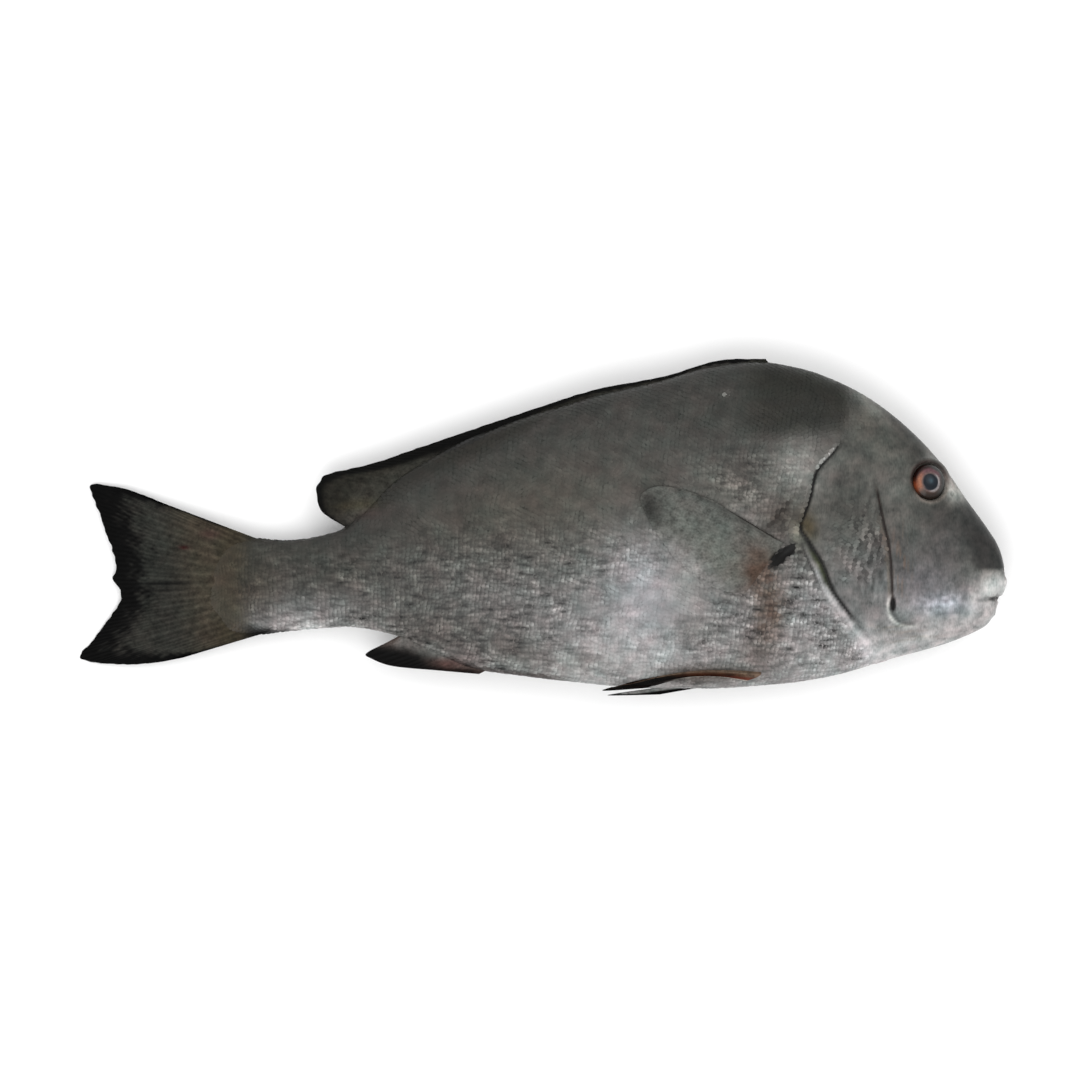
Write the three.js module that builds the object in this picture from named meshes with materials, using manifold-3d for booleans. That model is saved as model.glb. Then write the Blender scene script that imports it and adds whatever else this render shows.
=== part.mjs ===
// A whole fresh sea fish, a grey sweetlips, laid on its left side with the right side up.
// Millimetres, +Z up. +X points to the snout and +Y to the back of the fish.
// The origin is the centre of the fish's box, at the level that it lies on.
//
// Three nodes: the fish, which is one solid with its fins, lips and gill covers, and the two
// eyeballs, each set in its own socket with a running gap round it.
import * as THREE from "three";
import { mergeVertices } from "three/addons/utils/BufferGeometryUtils.js";
import Module from "manifold-3d";

const wasm = await Module();
wasm.setup();

// ---------------------------------------------------------------- driving dimensions
const thickness = 62; // across the flanks at the widest place
const flattened = 2.2; // how far the lower flank is pressed flat by the fish's weight
const bodyLevel = thickness / 2 - flattened; // height of the fish's middle plane over the table
const tailLevel = 1.0; // the same at the tips of the tail, which droop to the table
const droopStart = 40; // x where the tail begins to droop
const tailTip = -275; // x of the rearmost tail tip
const bodyEnd = -192; // x where the flesh ends inside the tail fin
const snout = 275; // x of the foremost point
const ringCount = 45; // sections of the body
const ringSides = 36; // facets round a section
const socketGap = 0.3; // clearance of an eyeball in its socket
const grooveProud = 1.6; // how far a groove's cutter stands out of the skin
const rampEnd = 0.35; // and how far the far end of its ramp does

// The back and belly lines of the body without its fins, as [x, y] from snout to tail.
const backLine = [
  [275, -30], [274, -21], [271.5, -12], [266, -2.5], [252, 17], [237, 38.5], [216, 60.5],
  [195, 76.5], [173, 88], [152, 95], [128, 98.6], [100, 95.5], [69, 87.3], [31, 78.5],
  [-11, 65.5], [-54, 48.5], [-88, 28], [-108, 8], [-122, -2.2], [-152, -7.6], [-178, -5.5],
  [-192, -6],
];
const bellyLine = [
  [275, -31], [273.5, -38], [270.5, -46], [266.5, -54.5], [258, -60], [240, -68.5],
  [206, -78], [173, -87.5], [140, -92.6], [95, -95], [65, -94.8], [40, -93.4], [20, -91.2],
  [-10, -87.8], [-37, -84], [-66, -73.5], [-84, -64.5], [-114, -58.4], [-150, -61],
  [-178, -64], [-192, -64],
];
// The body's thickness along its length, as [x, share of the greatest thickness].
const widthShares = [
  [275, 0.09], [273.5, 0.25], [270, 0.36], [262, 0.48], [246, 0.62], [226, 0.75], [204, 0.86],
  [180, 0.94], [150, 0.99], [120, 1], [85, 0.97], [45, 0.89], [0, 0.76], [-50, 0.58],
  [-95, 0.42], [-130, 0.32], [-160, 0.24], [-180, 0.15], [-192, 0.07],
];
// How full a section is: 2 is an ellipse, more is boxier. The back is slimmer than the belly.
const backFullness = 1.9;
const bellyFullness = 2.25;
const widestShare = 0.53; // height of the widest level, as a share of the body's depth

// ---------------------------------------------------------------- small helpers
const clamp01 = (v) => Math.min(1, Math.max(0, v));
const mix = (a, b, t) => a + (b - a) * t;

// A smooth curve through points whose x falls, with no overshoot: y as a function of x.
function smoothLine(points) {
  const p = [...points].sort((a, b) => a[0] - b[0]);
  const slope = p.slice(1).map((q, i) => (q[1] - p[i][1]) / (q[0] - p[i][0]));
  const tangent = p.map((_, i) => {
    if (i === 0) return slope[0];
    if (i === p.length - 1) return slope[i - 1];
    const product = slope[i - 1] * slope[i];
    return product <= 0 ? 0 : (2 * product) / (slope[i - 1] + slope[i]);
  });
  return (x) => {
    const at = Math.min(Math.max(x, p[0][0]), p[p.length - 1][0]);
    let i = 0;
    while (i < p.length - 2 && at > p[i + 1][0]) i++;
    const run = p[i + 1][0] - p[i][0];
    const t = (at - p[i][0]) / run;
    const a = (1 + 2 * t) * (1 - t) ** 2 * p[i][1] + t * (1 - t) ** 2 * run * tangent[i];
    return a + t * t * (3 - 2 * t) * p[i + 1][1] + t * t * (t - 1) * run * tangent[i + 1];
  };
}

const backAt = smoothLine(backLine);
const bellyAt = smoothLine(bellyLine);
const widthShareAt = smoothLine(widthShares);
const widthAt = (x) => (widthShareAt(x) * thickness) / 2;

// The middle plane's height: level under the trunk and head, drooping to the tail tips.
function middleAt(x) {
  const u = clamp01((droopStart - x) / (droopStart - tailTip));
  return mix(bodyLevel, tailLevel, u ** 1.6);
}

const widestAt = (x) => mix(bellyAt(x), backAt(x), widestShare);

// Share of the full thickness at a height across the section: level is -1 at belly, 1 at back.
function fullnessAt(level) {
  const power = level > 0 ? backFullness : bellyFullness;
  return Math.sqrt(Math.max(0, 1 - Math.abs(level) ** power));
}

// Half the thickness of the body at a place in the side view.
function halfThickness(x, y) {
  const widest = widestAt(x);
  const reach = y > widest ? backAt(x) - widest : widest - bellyAt(x);
  return widthAt(x) * fullnessAt(Math.min(1, Math.abs(y - widest) / reach) * Math.sign(y - widest));
}

// A point on the skin: side is 1 on the right flank, which lies up, and -1 on the left one.
function skinPoint(x, y, side) {
  return new THREE.Vector3(x, y, middleAt(x) + side * halfThickness(x, y));
}

function skinNormal(x, y, side) {
  const step = 1.5;
  const alongX = skinPoint(x + step, y, side).sub(skinPoint(x - step, y, side));
  const alongY = skinPoint(x, y + step, side).sub(skinPoint(x, y - step, side));
  return alongX.cross(alongY).multiplyScalar(side).normalize();
}

function geometryOf(points, faces) {
  const geometry = new THREE.BufferGeometry();
  geometry.setAttribute("position", new THREE.Float32BufferAttribute(points.flat(), 3));
  geometry.setIndex(faces.flat());
  return geometry;
}

// Turns a closed geometry into a solid for joining and cutting, faces outwards.
function solidOf(geometry, place = new THREE.Matrix4()) {
  const bare = geometry.clone().applyMatrix4(place);
  bare.deleteAttribute("normal");
  bare.deleteAttribute("uv");
  const merged = mergeVertices(bare, 1e-4);
  const index = Uint32Array.from(merged.index.array);
  const make = (triVerts) =>
    new wasm.Manifold(
      new wasm.Mesh({ numProp: 3, vertProperties: merged.attributes.position.array, triVerts }),
    );
  const made = make(index);
  if (made.volume() > 0) return made;
  for (let i = 0; i < index.length; i += 3) {
    [index[i + 1], index[i + 2]] = [index[i + 2], index[i + 1]];
  }
  return make(index);
}

function geometryFrom(solid) {
  const mesh = solid.getMesh();
  const geometry = new THREE.BufferGeometry();
  geometry.setAttribute("position", new THREE.BufferAttribute(mesh.vertProperties, 3));
  geometry.setIndex(new THREE.BufferAttribute(mesh.triVerts, 1));
  geometry.computeVertexNormals();
  return geometry;
}

// A closed skin over rings of points that all have the same number of points.
function loft(rings) {
  const sides = rings[0].length;
  const points = rings.flat().map((p) => p.toArray());
  const faces = [];
  for (let r = 0; r < rings.length - 1; r++) {
    for (let s = 0; s < sides; s++) {
      const a = r * sides + s;
      const b = r * sides + ((s + 1) % sides);
      faces.push([a, b, b + sides], [a, b + sides, a + sides]);
    }
  }
  for (const first of [0, (rings.length - 1) * sides]) {
    const ring = rings[first / sides];
    const centre = ring.reduce((sum, p) => sum.add(p), new THREE.Vector3());
    points.push(centre.divideScalar(sides).toArray());
    const middle = points.length - 1;
    for (let s = 0; s < sides; s++) {
      const a = first + s;
      const b = first + ((s + 1) % sides);
      faces.push(first === 0 ? [middle, b, a] : [middle, a, b]);
    }
  }
  return geometryOf(points, faces);
}

// ---------------------------------------------------------------- body
// Sections from snout to tail, closer together where the snout rounds off.
function body() {
  const rings = [];
  for (let r = 0; r < ringCount; r++) {
    const t = r / (ringCount - 1);
    const x = mix(snout - 0.4, bodyEnd, t ** 1.35);
    const widest = widestAt(x);
    const ring = [];
    for (let s = 0; s < ringSides; s++) {
      const angle = (2 * Math.PI * s) / ringSides;
      const level = Math.cos(angle);
      const reach = level > 0 ? backAt(x) - widest : widest - bellyAt(x);
      const side = Math.sign(Math.sin(angle)) * (Math.abs(Math.sin(angle)) > 1e-9 ? 1 : 0);
      ring.push(
        new THREE.Vector3(
          x,
          widest + reach * level,
          middleAt(x) + side * widthAt(x) * fullnessAt(level),
        ),
      );
    }
    rings.push(ring);
  }
  return solidOf(loft(rings));
}

// ---------------------------------------------------------------- fins
// Rays run from the root line to the edge line. Each ray is a ridge, and the web between two
// rays is thinner. The lines are smooth curves through the points given, as [x, y], and
// heightAt gives the fin's middle height at a place in the side view. A bow arches the rays
// towards the back.
function fin({ root, edge, rays, steps, rootThick, edgeThick, heightAt, bow = 0 }) {
  const curve = (line) => new THREE.SplineCurve(line.map(([x, y]) => new THREE.Vector2(x, y)));
  const rootCurve = curve(root);
  const edgeCurve = curve(edge);
  const columns = rays * 2;
  const points = [];
  const faces = [];
  for (const side of [1, -1]) {
    for (let i = 0; i <= columns; i++) {
      const from = rootCurve.getPointAt(i / columns);
      const to = edgeCurve.getPointAt(i / columns);
      const web = i % 2 === 0 ? 1 : 0.55;
      for (let j = 0; j <= steps; j++) {
        const t = j / steps;
        const half = (mix(rootThick, edgeThick, t) * web) / 2;
        const x = mix(from.x, to.x, t);
        const y = mix(from.y, to.y, t) + bow * Math.sin(Math.PI * t);
        points.push([x, y, heightAt(x, y) + side * half]);
      }
    }
  }
  const layer = points.length / 2;
  const at = (i, j) => i * (steps + 1) + j;
  for (let i = 0; i < columns; i++) {
    for (let j = 0; j < steps; j++) {
      const quad = [at(i, j), at(i + 1, j), at(i + 1, j + 1), at(i, j + 1)];
      faces.push([quad[0], quad[1], quad[2]], [quad[0], quad[2], quad[3]]);
      faces.push([quad[0] + layer, quad[2] + layer, quad[1] + layer]);
      faces.push([quad[0] + layer, quad[3] + layer, quad[2] + layer]);
    }
  }
  const rim = [];
  for (let i = 0; i < columns; i++) rim.push(at(i, 0));
  for (let j = 0; j < steps; j++) rim.push(at(columns, j));
  for (let i = columns; i > 0; i--) rim.push(at(i, steps));
  for (let j = steps; j > 0; j--) rim.push(at(0, j));
  rim.forEach((a, k) => {
    const b = rim[(k + 1) % rim.length];
    faces.push([b, a, a + layer], [b, a + layer, b + layer]);
  });
  return solidOf(geometryOf(points, faces));
}

// Folded back fin: a low black edge along the spines, then the soft part with its round lobe.
function backFin() {
  return fin({
    root: [
      [136, 96], [100, 93], [70, 84], [31, 75], [-11, 62], [-54, 45], [-86, 25], [-104, 8],
      [-113, 0],
    ],
    edge: [
      [133, 100.3], [104, 99.2], [74, 90.2], [31, 81.8], [-11, 68.4], [-54, 54], [-97, 39.4],
      [-128, 31], [-134, 21], [-130, 9.5], [-117, 1],
    ],
    rays: 18,
    steps: 2,
    rootThick: 5,
    edgeThick: 1.4,
    heightAt: (x) => middleAt(x),
  });
}

// Folded belly fin behind the vent, a slim wedge with a pointed tip.
function ventFin() {
  return fin({
    root: [[-30, -82], [-50, -77], [-70, -69], [-84, -62.5]],
    edge: [[-38, -85.8], [-67, -83.6], [-92, -80.8], [-104, -74.6], [-93, -68.8], [-82, -65]],
    rays: 7,
    steps: 2,
    rootThick: 5,
    edgeThick: 1.6,
    heightAt: (x) => middleAt(x),
  });
}

// The tail fin: two pointed lobes with a shallow fork, spread flat.
function tailFin() {
  return fin({
    root: [[-172, -7], [-177, -18], [-179, -34], [-177, -50], [-170, -63]],
    edge: [
      [-232, 17.5], [-247, 23.2], [-260, 25.6], [-269.5, 25.2], [-265.5, 13], [-260, -2],
      [-254.4, -16], [-253.4, -24.5], [-256, -29.6], [-252, -35], [-250.5, -41], [-258.5, -55],
      [-267, -66.5], [-276.9, -75.8], [-265, -80.6], [-248, -81.2], [-230, -80.2], [-213, -77],
    ],
    rays: 16,
    steps: 4,
    rootThick: 8,
    edgeThick: 1.4,
    heightAt: (x) => middleAt(x),
  });
}

// A side fin lies flat along the flank, with its thick root behind the gill cover. The one
// below is pressed against the table.
function sideFin(side) {
  const standOff = 0.3; // from the flank to the fin's middle
  const pressed = 0.7; // the lowest that its middle can lie over the table
  return fin({
    root: [[145, -11], [141, -14.5], [137, -19], [134, -24]],
    edge: [[101, 16.2], [70, 25.6], [58.5, 21], [64, 5], [86, -26], [108, -38], [124, -40]],
    rays: 9,
    steps: 5,
    rootThick: 4.4,
    edgeThick: 2,
    heightAt: (x, y) => {
      return Math.max(middleAt(x) + side * (halfThickness(x, y) + standOff), pressed);
    },
  });
}

// The paired belly fins, folded shut and laid back. The right one lies on the lower flank and
// the left one shows below it, under the belly's edge.
function pelvicFin(side) {
  const standOff = 0.6; // from the flank to the right fin's middle
  const apart = 4; // from the middle plane, where the fins are free of the flank
  const right = side > 0;
  return fin({
    root: right ? [[130, -85.6], [127, -87.4], [121, -89.4]] : [[128, -87], [124, -89], [118, -91]],
    edge: right
      ? [[46, -94], [36.5, -95.6], [39, -96.6], [62, -94.8]]
      : [[62, -95.6], [44, -98.2], [41, -99.6], [70, -98.8]],
    rays: 4,
    steps: 5,
    rootThick: 5,
    edgeThick: 2,
    bow: right ? 4.2 : 0,
    heightAt: (x, y) => {
      const free = middleAt(x) + side * apart;
      return right ? Math.max(free, middleAt(x) + halfThickness(x, y) + standOff) : free;
    },
  });
}

// ---------------------------------------------------------------- head
// A cutter that follows a line on the skin: a wall straight down at the line, and a ramp that
// comes back up behind it. It fades out at both ends of the line.
function grooveCutter(line, side, depth, ramp) {
  const curve = new THREE.SplineCurve(line.map(([x, y]) => new THREE.Vector2(x, y)));
  const count = 16;
  const rings = [];
  for (let i = 0; i <= count; i++) {
    const t = i / count;
    const p = curve.getPoint(t);
    const along = curve.getTangent(t);
    const fade = 1.12 * Math.sin(Math.PI * t) ** 0.6 - 0.12; // the ends run out of the skin
    const behind = new THREE.Vector3(-Math.abs(along.y), along.x * Math.sign(along.y), 0);
    const skin = skinPoint(p.x, p.y, side);
    const normal = skinNormal(p.x, p.y, side);
    const reach = ramp * Math.max(fade, 0.2);
    const back = skinPoint(p.x + behind.x * reach, p.y + behind.y * reach, side);
    rings.push([
      skin.clone().addScaledVector(normal, grooveProud),
      skin.clone().addScaledVector(normal, -depth * fade),
      back.clone().addScaledVector(normal, rampEnd),
      back.clone().addScaledVector(normal, grooveProud),
    ]);
  }
  return solidOf(loft(rings));
}

const gillLine = [
  [176, 49.5], [162.8, 32], [158.8, 16], [153.8, 1.5], [160.5, -12], [171.5, -35], [187.5, -58],
];
const cheekLine = [
  [198.5, 24], [202.3, 3.5], [206, -14], [207.3, -36], [206, -49], [211, -56.5], [221, -59.5],
];

// The foremost x at which the body still reaches a level.
function frontAt(y) {
  let x = snout;
  while (backAt(x) < y + 1 || bellyAt(x) > y - 1) x -= 0.25;
  return x;
}

// Thick lips: a bead round the front of the snout, over and under the mouth's slit. It stands
// proud at the front, and its two ends sink into the cheeks.
function lip(level, radius, proud) {
  const count = 8;
  const lipEnd = 252;
  const front = frontAt(level) + proud - radius;
  const path = [];
  for (let i = -count; i <= count; i++) {
    const share = Math.abs(i) / count;
    const x = mix(front, lipEnd, share ** 1.7);
    const half = (halfThickness(x, level) - radius * (0.45 + share ** 3)) * share ** 0.12;
    path.push(new THREE.Vector3(x, level, middleAt(x) + Math.sign(i) * Math.max(0, half)));
  }
  const section = new THREE.Shape();
  section.absarc(0, 0, radius, 0, 2 * Math.PI, false);
  return solidOf(
    new THREE.ExtrudeGeometry(section, {
      steps: 2 * count,
      curveSegments: 4,
      bevelEnabled: false,
      extrudePath: new THREE.CatmullRomCurve3(path),
    }),
  );
}

const mouth = { corner: 255, level: -42, height: 1.4, throat: 8.5, throatX: 261 };

function mouthSlit() {
  const long = snout + 6 - mouth.corner;
  const slit = new THREE.BoxGeometry(long, mouth.height, thickness);
  slit.translate(mouth.corner + long / 2, mouth.level, bodyLevel);
  const core = new THREE.CylinderGeometry(mouth.throat, mouth.throat, mouth.height * 2, 24);
  core.translate(mouth.throatX, mouth.level, bodyLevel);
  return solidOf(slit).subtract(solidOf(core));
}

// ---------------------------------------------------------------- eyes
const eye = { x: 229.5, y: 27, radius: 12, depth: 7.5, sunk: 4.4, tilt: 0.62, sides: 20 };
const rim = { radius: 10.4, thick: 1.6, inward: 1.2 };

// Where an eyeball sits: its axis leans between straight out and square to the skin.
function eyePlace(side) {
  const normal = skinNormal(eye.x, eye.y, side);
  const axis = new THREE.Vector3(0, 0, side).lerp(normal, eye.tilt).normalize();
  const centre = skinPoint(eye.x, eye.y, side).addScaledVector(axis, -eye.sunk);
  const turn = new THREE.Quaternion().setFromUnitVectors(new THREE.Vector3(0, 1, 0), axis);
  return { centre, turn };
}

function eyeGeometry(extra) {
  const profile = [];
  const count = 10;
  for (let i = 0; i <= count; i++) {
    const angle = -Math.PI / 2 + (Math.PI * i) / count;
    const radius = i % count === 0 ? 0 : (eye.radius + extra) * Math.cos(angle);
    profile.push(new THREE.Vector2(radius, (eye.depth + extra) * Math.sin(angle)));
  }
  return new THREE.LatheGeometry(profile, eye.sides);
}

function eyeSocket(side) {
  const { centre, turn } = eyePlace(side);
  const place = new THREE.Matrix4().compose(centre, turn, new THREE.Vector3(1, 1, 1));
  return solidOf(eyeGeometry(socketGap), place);
}

// The rim of skin round the eye.
function eyeRim(side) {
  const { centre, turn } = eyePlace(side);
  const ring = new THREE.TorusGeometry(rim.radius, rim.thick, 6, eye.sides);
  ring.rotateX(Math.PI / 2).translate(0, eye.sunk - rim.inward, 0);
  return solidOf(ring, new THREE.Matrix4().compose(centre, turn, new THREE.Vector3(1, 1, 1)));
}

// ---------------------------------------------------------------- the whole fish
function fishSolid() {
  let fish = body();
  const added = [backFin(), ventFin(), tailFin(), lip(-36.8, 4.4, 1.6), lip(-46.8, 4, 0.8)];
  for (const side of [1, -1]) {
    added.push(sideFin(side), pelvicFin(side), eyeRim(side));
  }
  for (const piece of added) fish = fish.add(piece);
  const cut = [mouthSlit()];
  for (const side of [1, -1]) {
    cut.push(eyeSocket(side), grooveCutter(gillLine, side, 2.6, 7));
    cut.push(grooveCutter(cheekLine, side, 1.6, 3.2));
  }
  for (const piece of cut) fish = fish.subtract(piece);
  const table = new THREE.BoxGeometry(700, 400, 60).translate(0, 0, -30);
  return fish.subtract(solidOf(table));
}

const skin = new THREE.MeshStandardMaterial({ color: 0x6d6b68, roughness: 0.38, metalness: 0 });
const eyeFinish = new THREE.MeshStandardMaterial({ color: 0x7a4a3c, roughness: 0.12 });

const fish = new THREE.Mesh(geometryFrom(fishSolid()), skin);
fish.name = "fish";

const group = new THREE.Group();
group.add(fish);
for (const [name, side] of [["eye_right", 1], ["eye_left", -1]]) {
  const { centre, turn } = eyePlace(side);
  const ball = new THREE.Mesh(eyeGeometry(0), eyeFinish);
  ball.name = name;
  ball.position.copy(centre);
  ball.quaternion.copy(turn);
  group.add(ball);
}

// The origin goes to the middle of the fish's box, on the level it lies on.
const box = new THREE.Box3().setFromObject(fish);
group.position.set(-(box.min.x + box.max.x) / 2, -(box.min.y + box.max.y) / 2, -box.min.z);

export default group;
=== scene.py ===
import math

import bpy
import numpy as np
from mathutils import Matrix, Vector


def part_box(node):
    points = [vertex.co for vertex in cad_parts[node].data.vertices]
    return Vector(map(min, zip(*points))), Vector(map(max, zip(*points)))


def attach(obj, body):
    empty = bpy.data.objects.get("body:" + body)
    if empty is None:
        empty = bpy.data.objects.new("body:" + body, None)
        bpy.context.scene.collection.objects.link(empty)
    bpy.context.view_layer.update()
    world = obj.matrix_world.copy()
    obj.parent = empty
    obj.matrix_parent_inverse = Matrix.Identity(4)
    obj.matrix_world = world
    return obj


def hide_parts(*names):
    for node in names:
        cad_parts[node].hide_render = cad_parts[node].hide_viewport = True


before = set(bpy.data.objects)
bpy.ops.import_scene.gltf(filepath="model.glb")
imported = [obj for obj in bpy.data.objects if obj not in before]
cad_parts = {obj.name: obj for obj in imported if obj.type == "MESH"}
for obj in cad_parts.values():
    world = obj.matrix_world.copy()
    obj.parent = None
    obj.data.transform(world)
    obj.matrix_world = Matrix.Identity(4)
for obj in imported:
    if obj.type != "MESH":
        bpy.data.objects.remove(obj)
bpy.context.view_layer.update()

# Plans are in millimetres from the middle of the fish's box, at the level that it lies on.
# +X is the snout, +Y the back, +Z the right side, which lies up.
fishLow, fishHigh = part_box("fish")
mm = (fishHigh.x - fishLow.x) / 550
rng = np.random.default_rng(7)


def smoothLine(points):
    # a monotone cubic through points: y as a function of x
    knots = np.array(sorted(points), float)
    kx, ky = knots[:, 0], knots[:, 1]
    run = np.diff(kx)
    slope = np.diff(ky) / run
    tangent = np.zeros(len(kx))
    tangent[0], tangent[-1] = slope[0], slope[-1]
    product = slope[:-1] * slope[1:]
    total = np.where(product > 0, slope[:-1] + slope[1:], 1)
    tangent[1:-1] = np.where(product > 0, 2 * product / total, 0)

    def at(x):
        x = np.clip(x, kx[0], kx[-1])
        i = np.clip(np.searchsorted(kx, x) - 1, 0, len(run) - 1)
        t = (x - kx[i]) / run[i]
        first = (1 + 2 * t) * (1 - t) ** 2 * ky[i] + t * (1 - t) ** 2 * run[i] * tangent[i]
        return first + t * t * (3 - 2 * t) * ky[i + 1] + t * t * (t - 1) * run[i] * tangent[i + 1]

    return at


def spline(points):
    # a smooth curve through points in the plane, at shares of its length
    p = np.array(points, float)
    p = np.vstack([2 * p[0] - p[1], p, 2 * p[-1] - p[-2]])
    fine = []
    for i in range(1, len(p) - 2):
        t = np.linspace(0, 1, 24, endpoint=False)[:, None]
        a, b, c, d = p[i - 1], p[i], p[i + 1], p[i + 2]
        fine.append(0.5 * (2 * b + (c - a) * t + (2 * a - 5 * b + 4 * c - d) * t ** 2
                           + (3 * b - a - 3 * c + d) * t ** 3))
    fine = np.vstack(fine + [p[-2][None]])
    length = np.concatenate([[0], np.cumsum(np.linalg.norm(np.diff(fine, axis=0), axis=1))])
    length /= length[-1]

    def at(share):
        return np.stack([np.interp(share, length, fine[:, 0]), np.interp(share, length, fine[:, 1])], -1)

    return at


def smooth(low, high, value):
    # 0 below low, 1 above high, or the other way round when low is the greater
    t = np.clip((value - low) / (high - low), 0, 1)
    return t * t * (3 - 2 * t)


def ripple(x, y, size, seed):
    # a cheap soft noise between about -1 and 1, made of crossing waves
    turn = np.random.default_rng(seed).uniform(0, 2 * math.pi, (6, 2))
    total = 0
    for heading, phase in turn:
        total = total + np.sin((x * math.cos(heading) + y * math.sin(heading)) * 2 * math.pi / size
                               * (0.7 + 0.12 * phase) + 5 * phase)
    return total / 3.2


def deselect():
    if bpy.context.object and bpy.context.object.mode != "OBJECT":
        bpy.ops.object.mode_set(mode="OBJECT")
    bpy.ops.object.select_all(action="DESELECT")


def pick(piece):
    deselect()
    piece.select_set(True)
    bpy.context.view_layer.objects.active = piece


def readPoints(piece):
    co = np.empty(len(piece.data.vertices) * 3)
    piece.data.vertices.foreach_get("co", co)
    return co.reshape(-1, 3)


def writePoints(piece, points):
    piece.data.vertices.foreach_set("co", np.asarray(points, float).ravel())
    piece.data.update()


def addAttribute(piece, name, values):
    values = np.asarray(values, np.float32)
    if values.ndim == 1:
        layer = piece.data.attributes.new(name, "FLOAT", "POINT")
        layer.data.foreach_set("value", values)
    else:
        layer = piece.data.color_attributes.new(name, "FLOAT_COLOR", "POINT")
        opaque = np.hstack([values, np.ones((len(values), 1))]).astype(np.float32)
        layer.data.foreach_set("color", opaque.ravel())


def faceOutwards(piece):
    pick(piece)
    bpy.ops.object.mode_set(mode="EDIT")
    bpy.ops.mesh.select_all(action="SELECT")
    bpy.ops.mesh.normals_make_consistent(inside=False)
    bpy.ops.object.mode_set(mode="OBJECT")


def finishPiece(piece, name, material, replaced=()):
    piece.name = name
    piece.data.name = name
    piece.data.materials.clear()
    piece.data.materials.append(material)
    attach(piece, "root")
    if replaced:
        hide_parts(*replaced)
    print("made", name, len(piece.data.polygons), "faces")


# the form of the body
body = {
    "thickness": 62,
    "flattened": 2.2,          # how far the lower flank is pressed flat
    "bed": 1.7,                # how softly that flat bends into the flank
    "tailLevel": 1.0,          # height of the middle plane at the tail's tips
    "droopFrom": 40,
    "tailTip": -275,
    "snout": 275,
    "end": -203,               # where the flesh ends between the tail fin's rays
    "back": [(275, -30), (274, -21), (271.5, -12), (266, -2.5), (252, 17), (237, 38.5), (216, 60.5),
             (195, 76.5), (173, 88), (152, 95), (128, 98.6), (100, 95.5), (69, 86.8), (31, 78),
             (-11, 65), (-54, 48.5), (-88, 28), (-108, 8), (-122, -2.2), (-152, -7.6), (-178, -5.5),
             (-190, -6.5), (-203, -14)],
    "belly": [(275, -31), (273.6, -36), (271.2, -41), (269, -46.5), (268, -51.5), (264, -57.5), (256, -62),
              (240, -68.5), (206, -78), (173, -87.5), (140, -92.6), (95, -95), (65, -94.8), (40, -93.4),
              (20, -91.2), (-10, -87.8), (-37, -84), (-66, -73.5), (-84, -64.5), (-114, -58.4),
              (-150, -61), (-178, -64), (-190, -63.5), (-203, -56)],
    "widthShares": [(275, 0.09), (273.5, 0.25), (270, 0.36), (262, 0.48), (246, 0.62), (226, 0.75),
                    (204, 0.86), (180, 0.94), (150, 0.99), (120, 1), (85, 0.97), (45, 0.89), (0, 0.76),
                    (-50, 0.58), (-95, 0.42), (-130, 0.32), (-160, 0.24), (-180, 0.15), (-192, 0.06),
                    (-203, 0.015)],
    "backFullness": 1.9,       # 2 makes a round section, more a squarer one
    "bellyFullness": 2.25,
    "widestShare": 0.53,       # where the body is thickest, as a share of its height from the belly
    "rings": 384,
    "sides": 256,
}
backAt = smoothLine(body["back"])
bellyAt = smoothLine(body["belly"])
widthShareAt = smoothLine(body["widthShares"])
bodyLevel = body["thickness"] / 2 - body["flattened"]

head = {
    # edges as places along x for a height y
    "gill": [(52, 178), (45.4, 174), (31.8, 162.8), (17.2, 159.4), (7.7, 156), (1, 153.4), (-7.3, 158),
             (-22.7, 166.8), (-34.4, 171.5), (-47.2, 180.4), (-57, 188), (-68, 197), (-78, 206)],
    "gillStep": 1.7,           # how far an edge stands proud of the skin behind it
    "flap": [(2, 151.5), (-10.9, 154.8), (-23.6, 160.4), (-39, 167.7), (-54.5, 179.5), (-68.8, 191),
             (-78, 197), (-88, 201)],
    "flapStep": 0.7,
    "cheek": [(27, 197.6), (21.8, 198.5), (3.6, 202.2), (-11.9, 205.6), (-23.6, 206.8), (-37, 207.4),
              (-44.5, 207.6), (-52, 206.5)],
    "cheekStep": 0.9,
    "eye": (229.4, 27.3),
    "eyeAxes": (10.3, 11.6),
    "eyeTurn": 0.35,
    "mouthLevel": -42.0,
    "mouthCorner": 254.5,
    "hook": (217, -46.2),      # middle of the arc that ends the cheek's edge
    "axil": (143.6, -15.3),
}
gillAt = smoothLine(head["gill"])
flapAt = smoothLine(head["flap"])
cheekAt = smoothLine(head["cheek"])


def middleAt(x):
    u = np.clip((body["droopFrom"] - x) / (body["droopFrom"] - body["tailTip"]), 0, 1)
    return bodyLevel + (body["tailLevel"] - bodyLevel) * u ** 1.6


def widestAt(x):
    return bellyAt(x) + (backAt(x) - bellyAt(x)) * body["widestShare"]


def levelOf(x, y):
    # -1 at the belly's edge, 0 at the widest line, 1 at the back's edge
    widest = widestAt(x)
    above = (y - widest) / np.maximum(backAt(x) - widest, 0.01)
    below = (y - widest) / np.maximum(widest - bellyAt(x), 0.01)
    return np.clip(np.where(y > widest, above, below), -1, 1)


def baseSkin(x, angle):
    # a point on the plain form. The angle is 0 at the back's edge, and under pi on the right side.
    level = np.cos(angle)
    widest = widestAt(x)
    reach = np.where(level > 0, backAt(x) - widest, widest - bellyAt(x))
    power = np.where(level > 0, body["backFullness"], body["bellyFullness"])
    full = np.sqrt(np.maximum(0, 1 - np.abs(level) ** power))
    half = widthShareAt(x) * body["thickness"] / 2 * full
    return np.stack([x, widest + reach * level, middleAt(x) + np.sign(np.sin(angle)) * half], -1)


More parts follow.
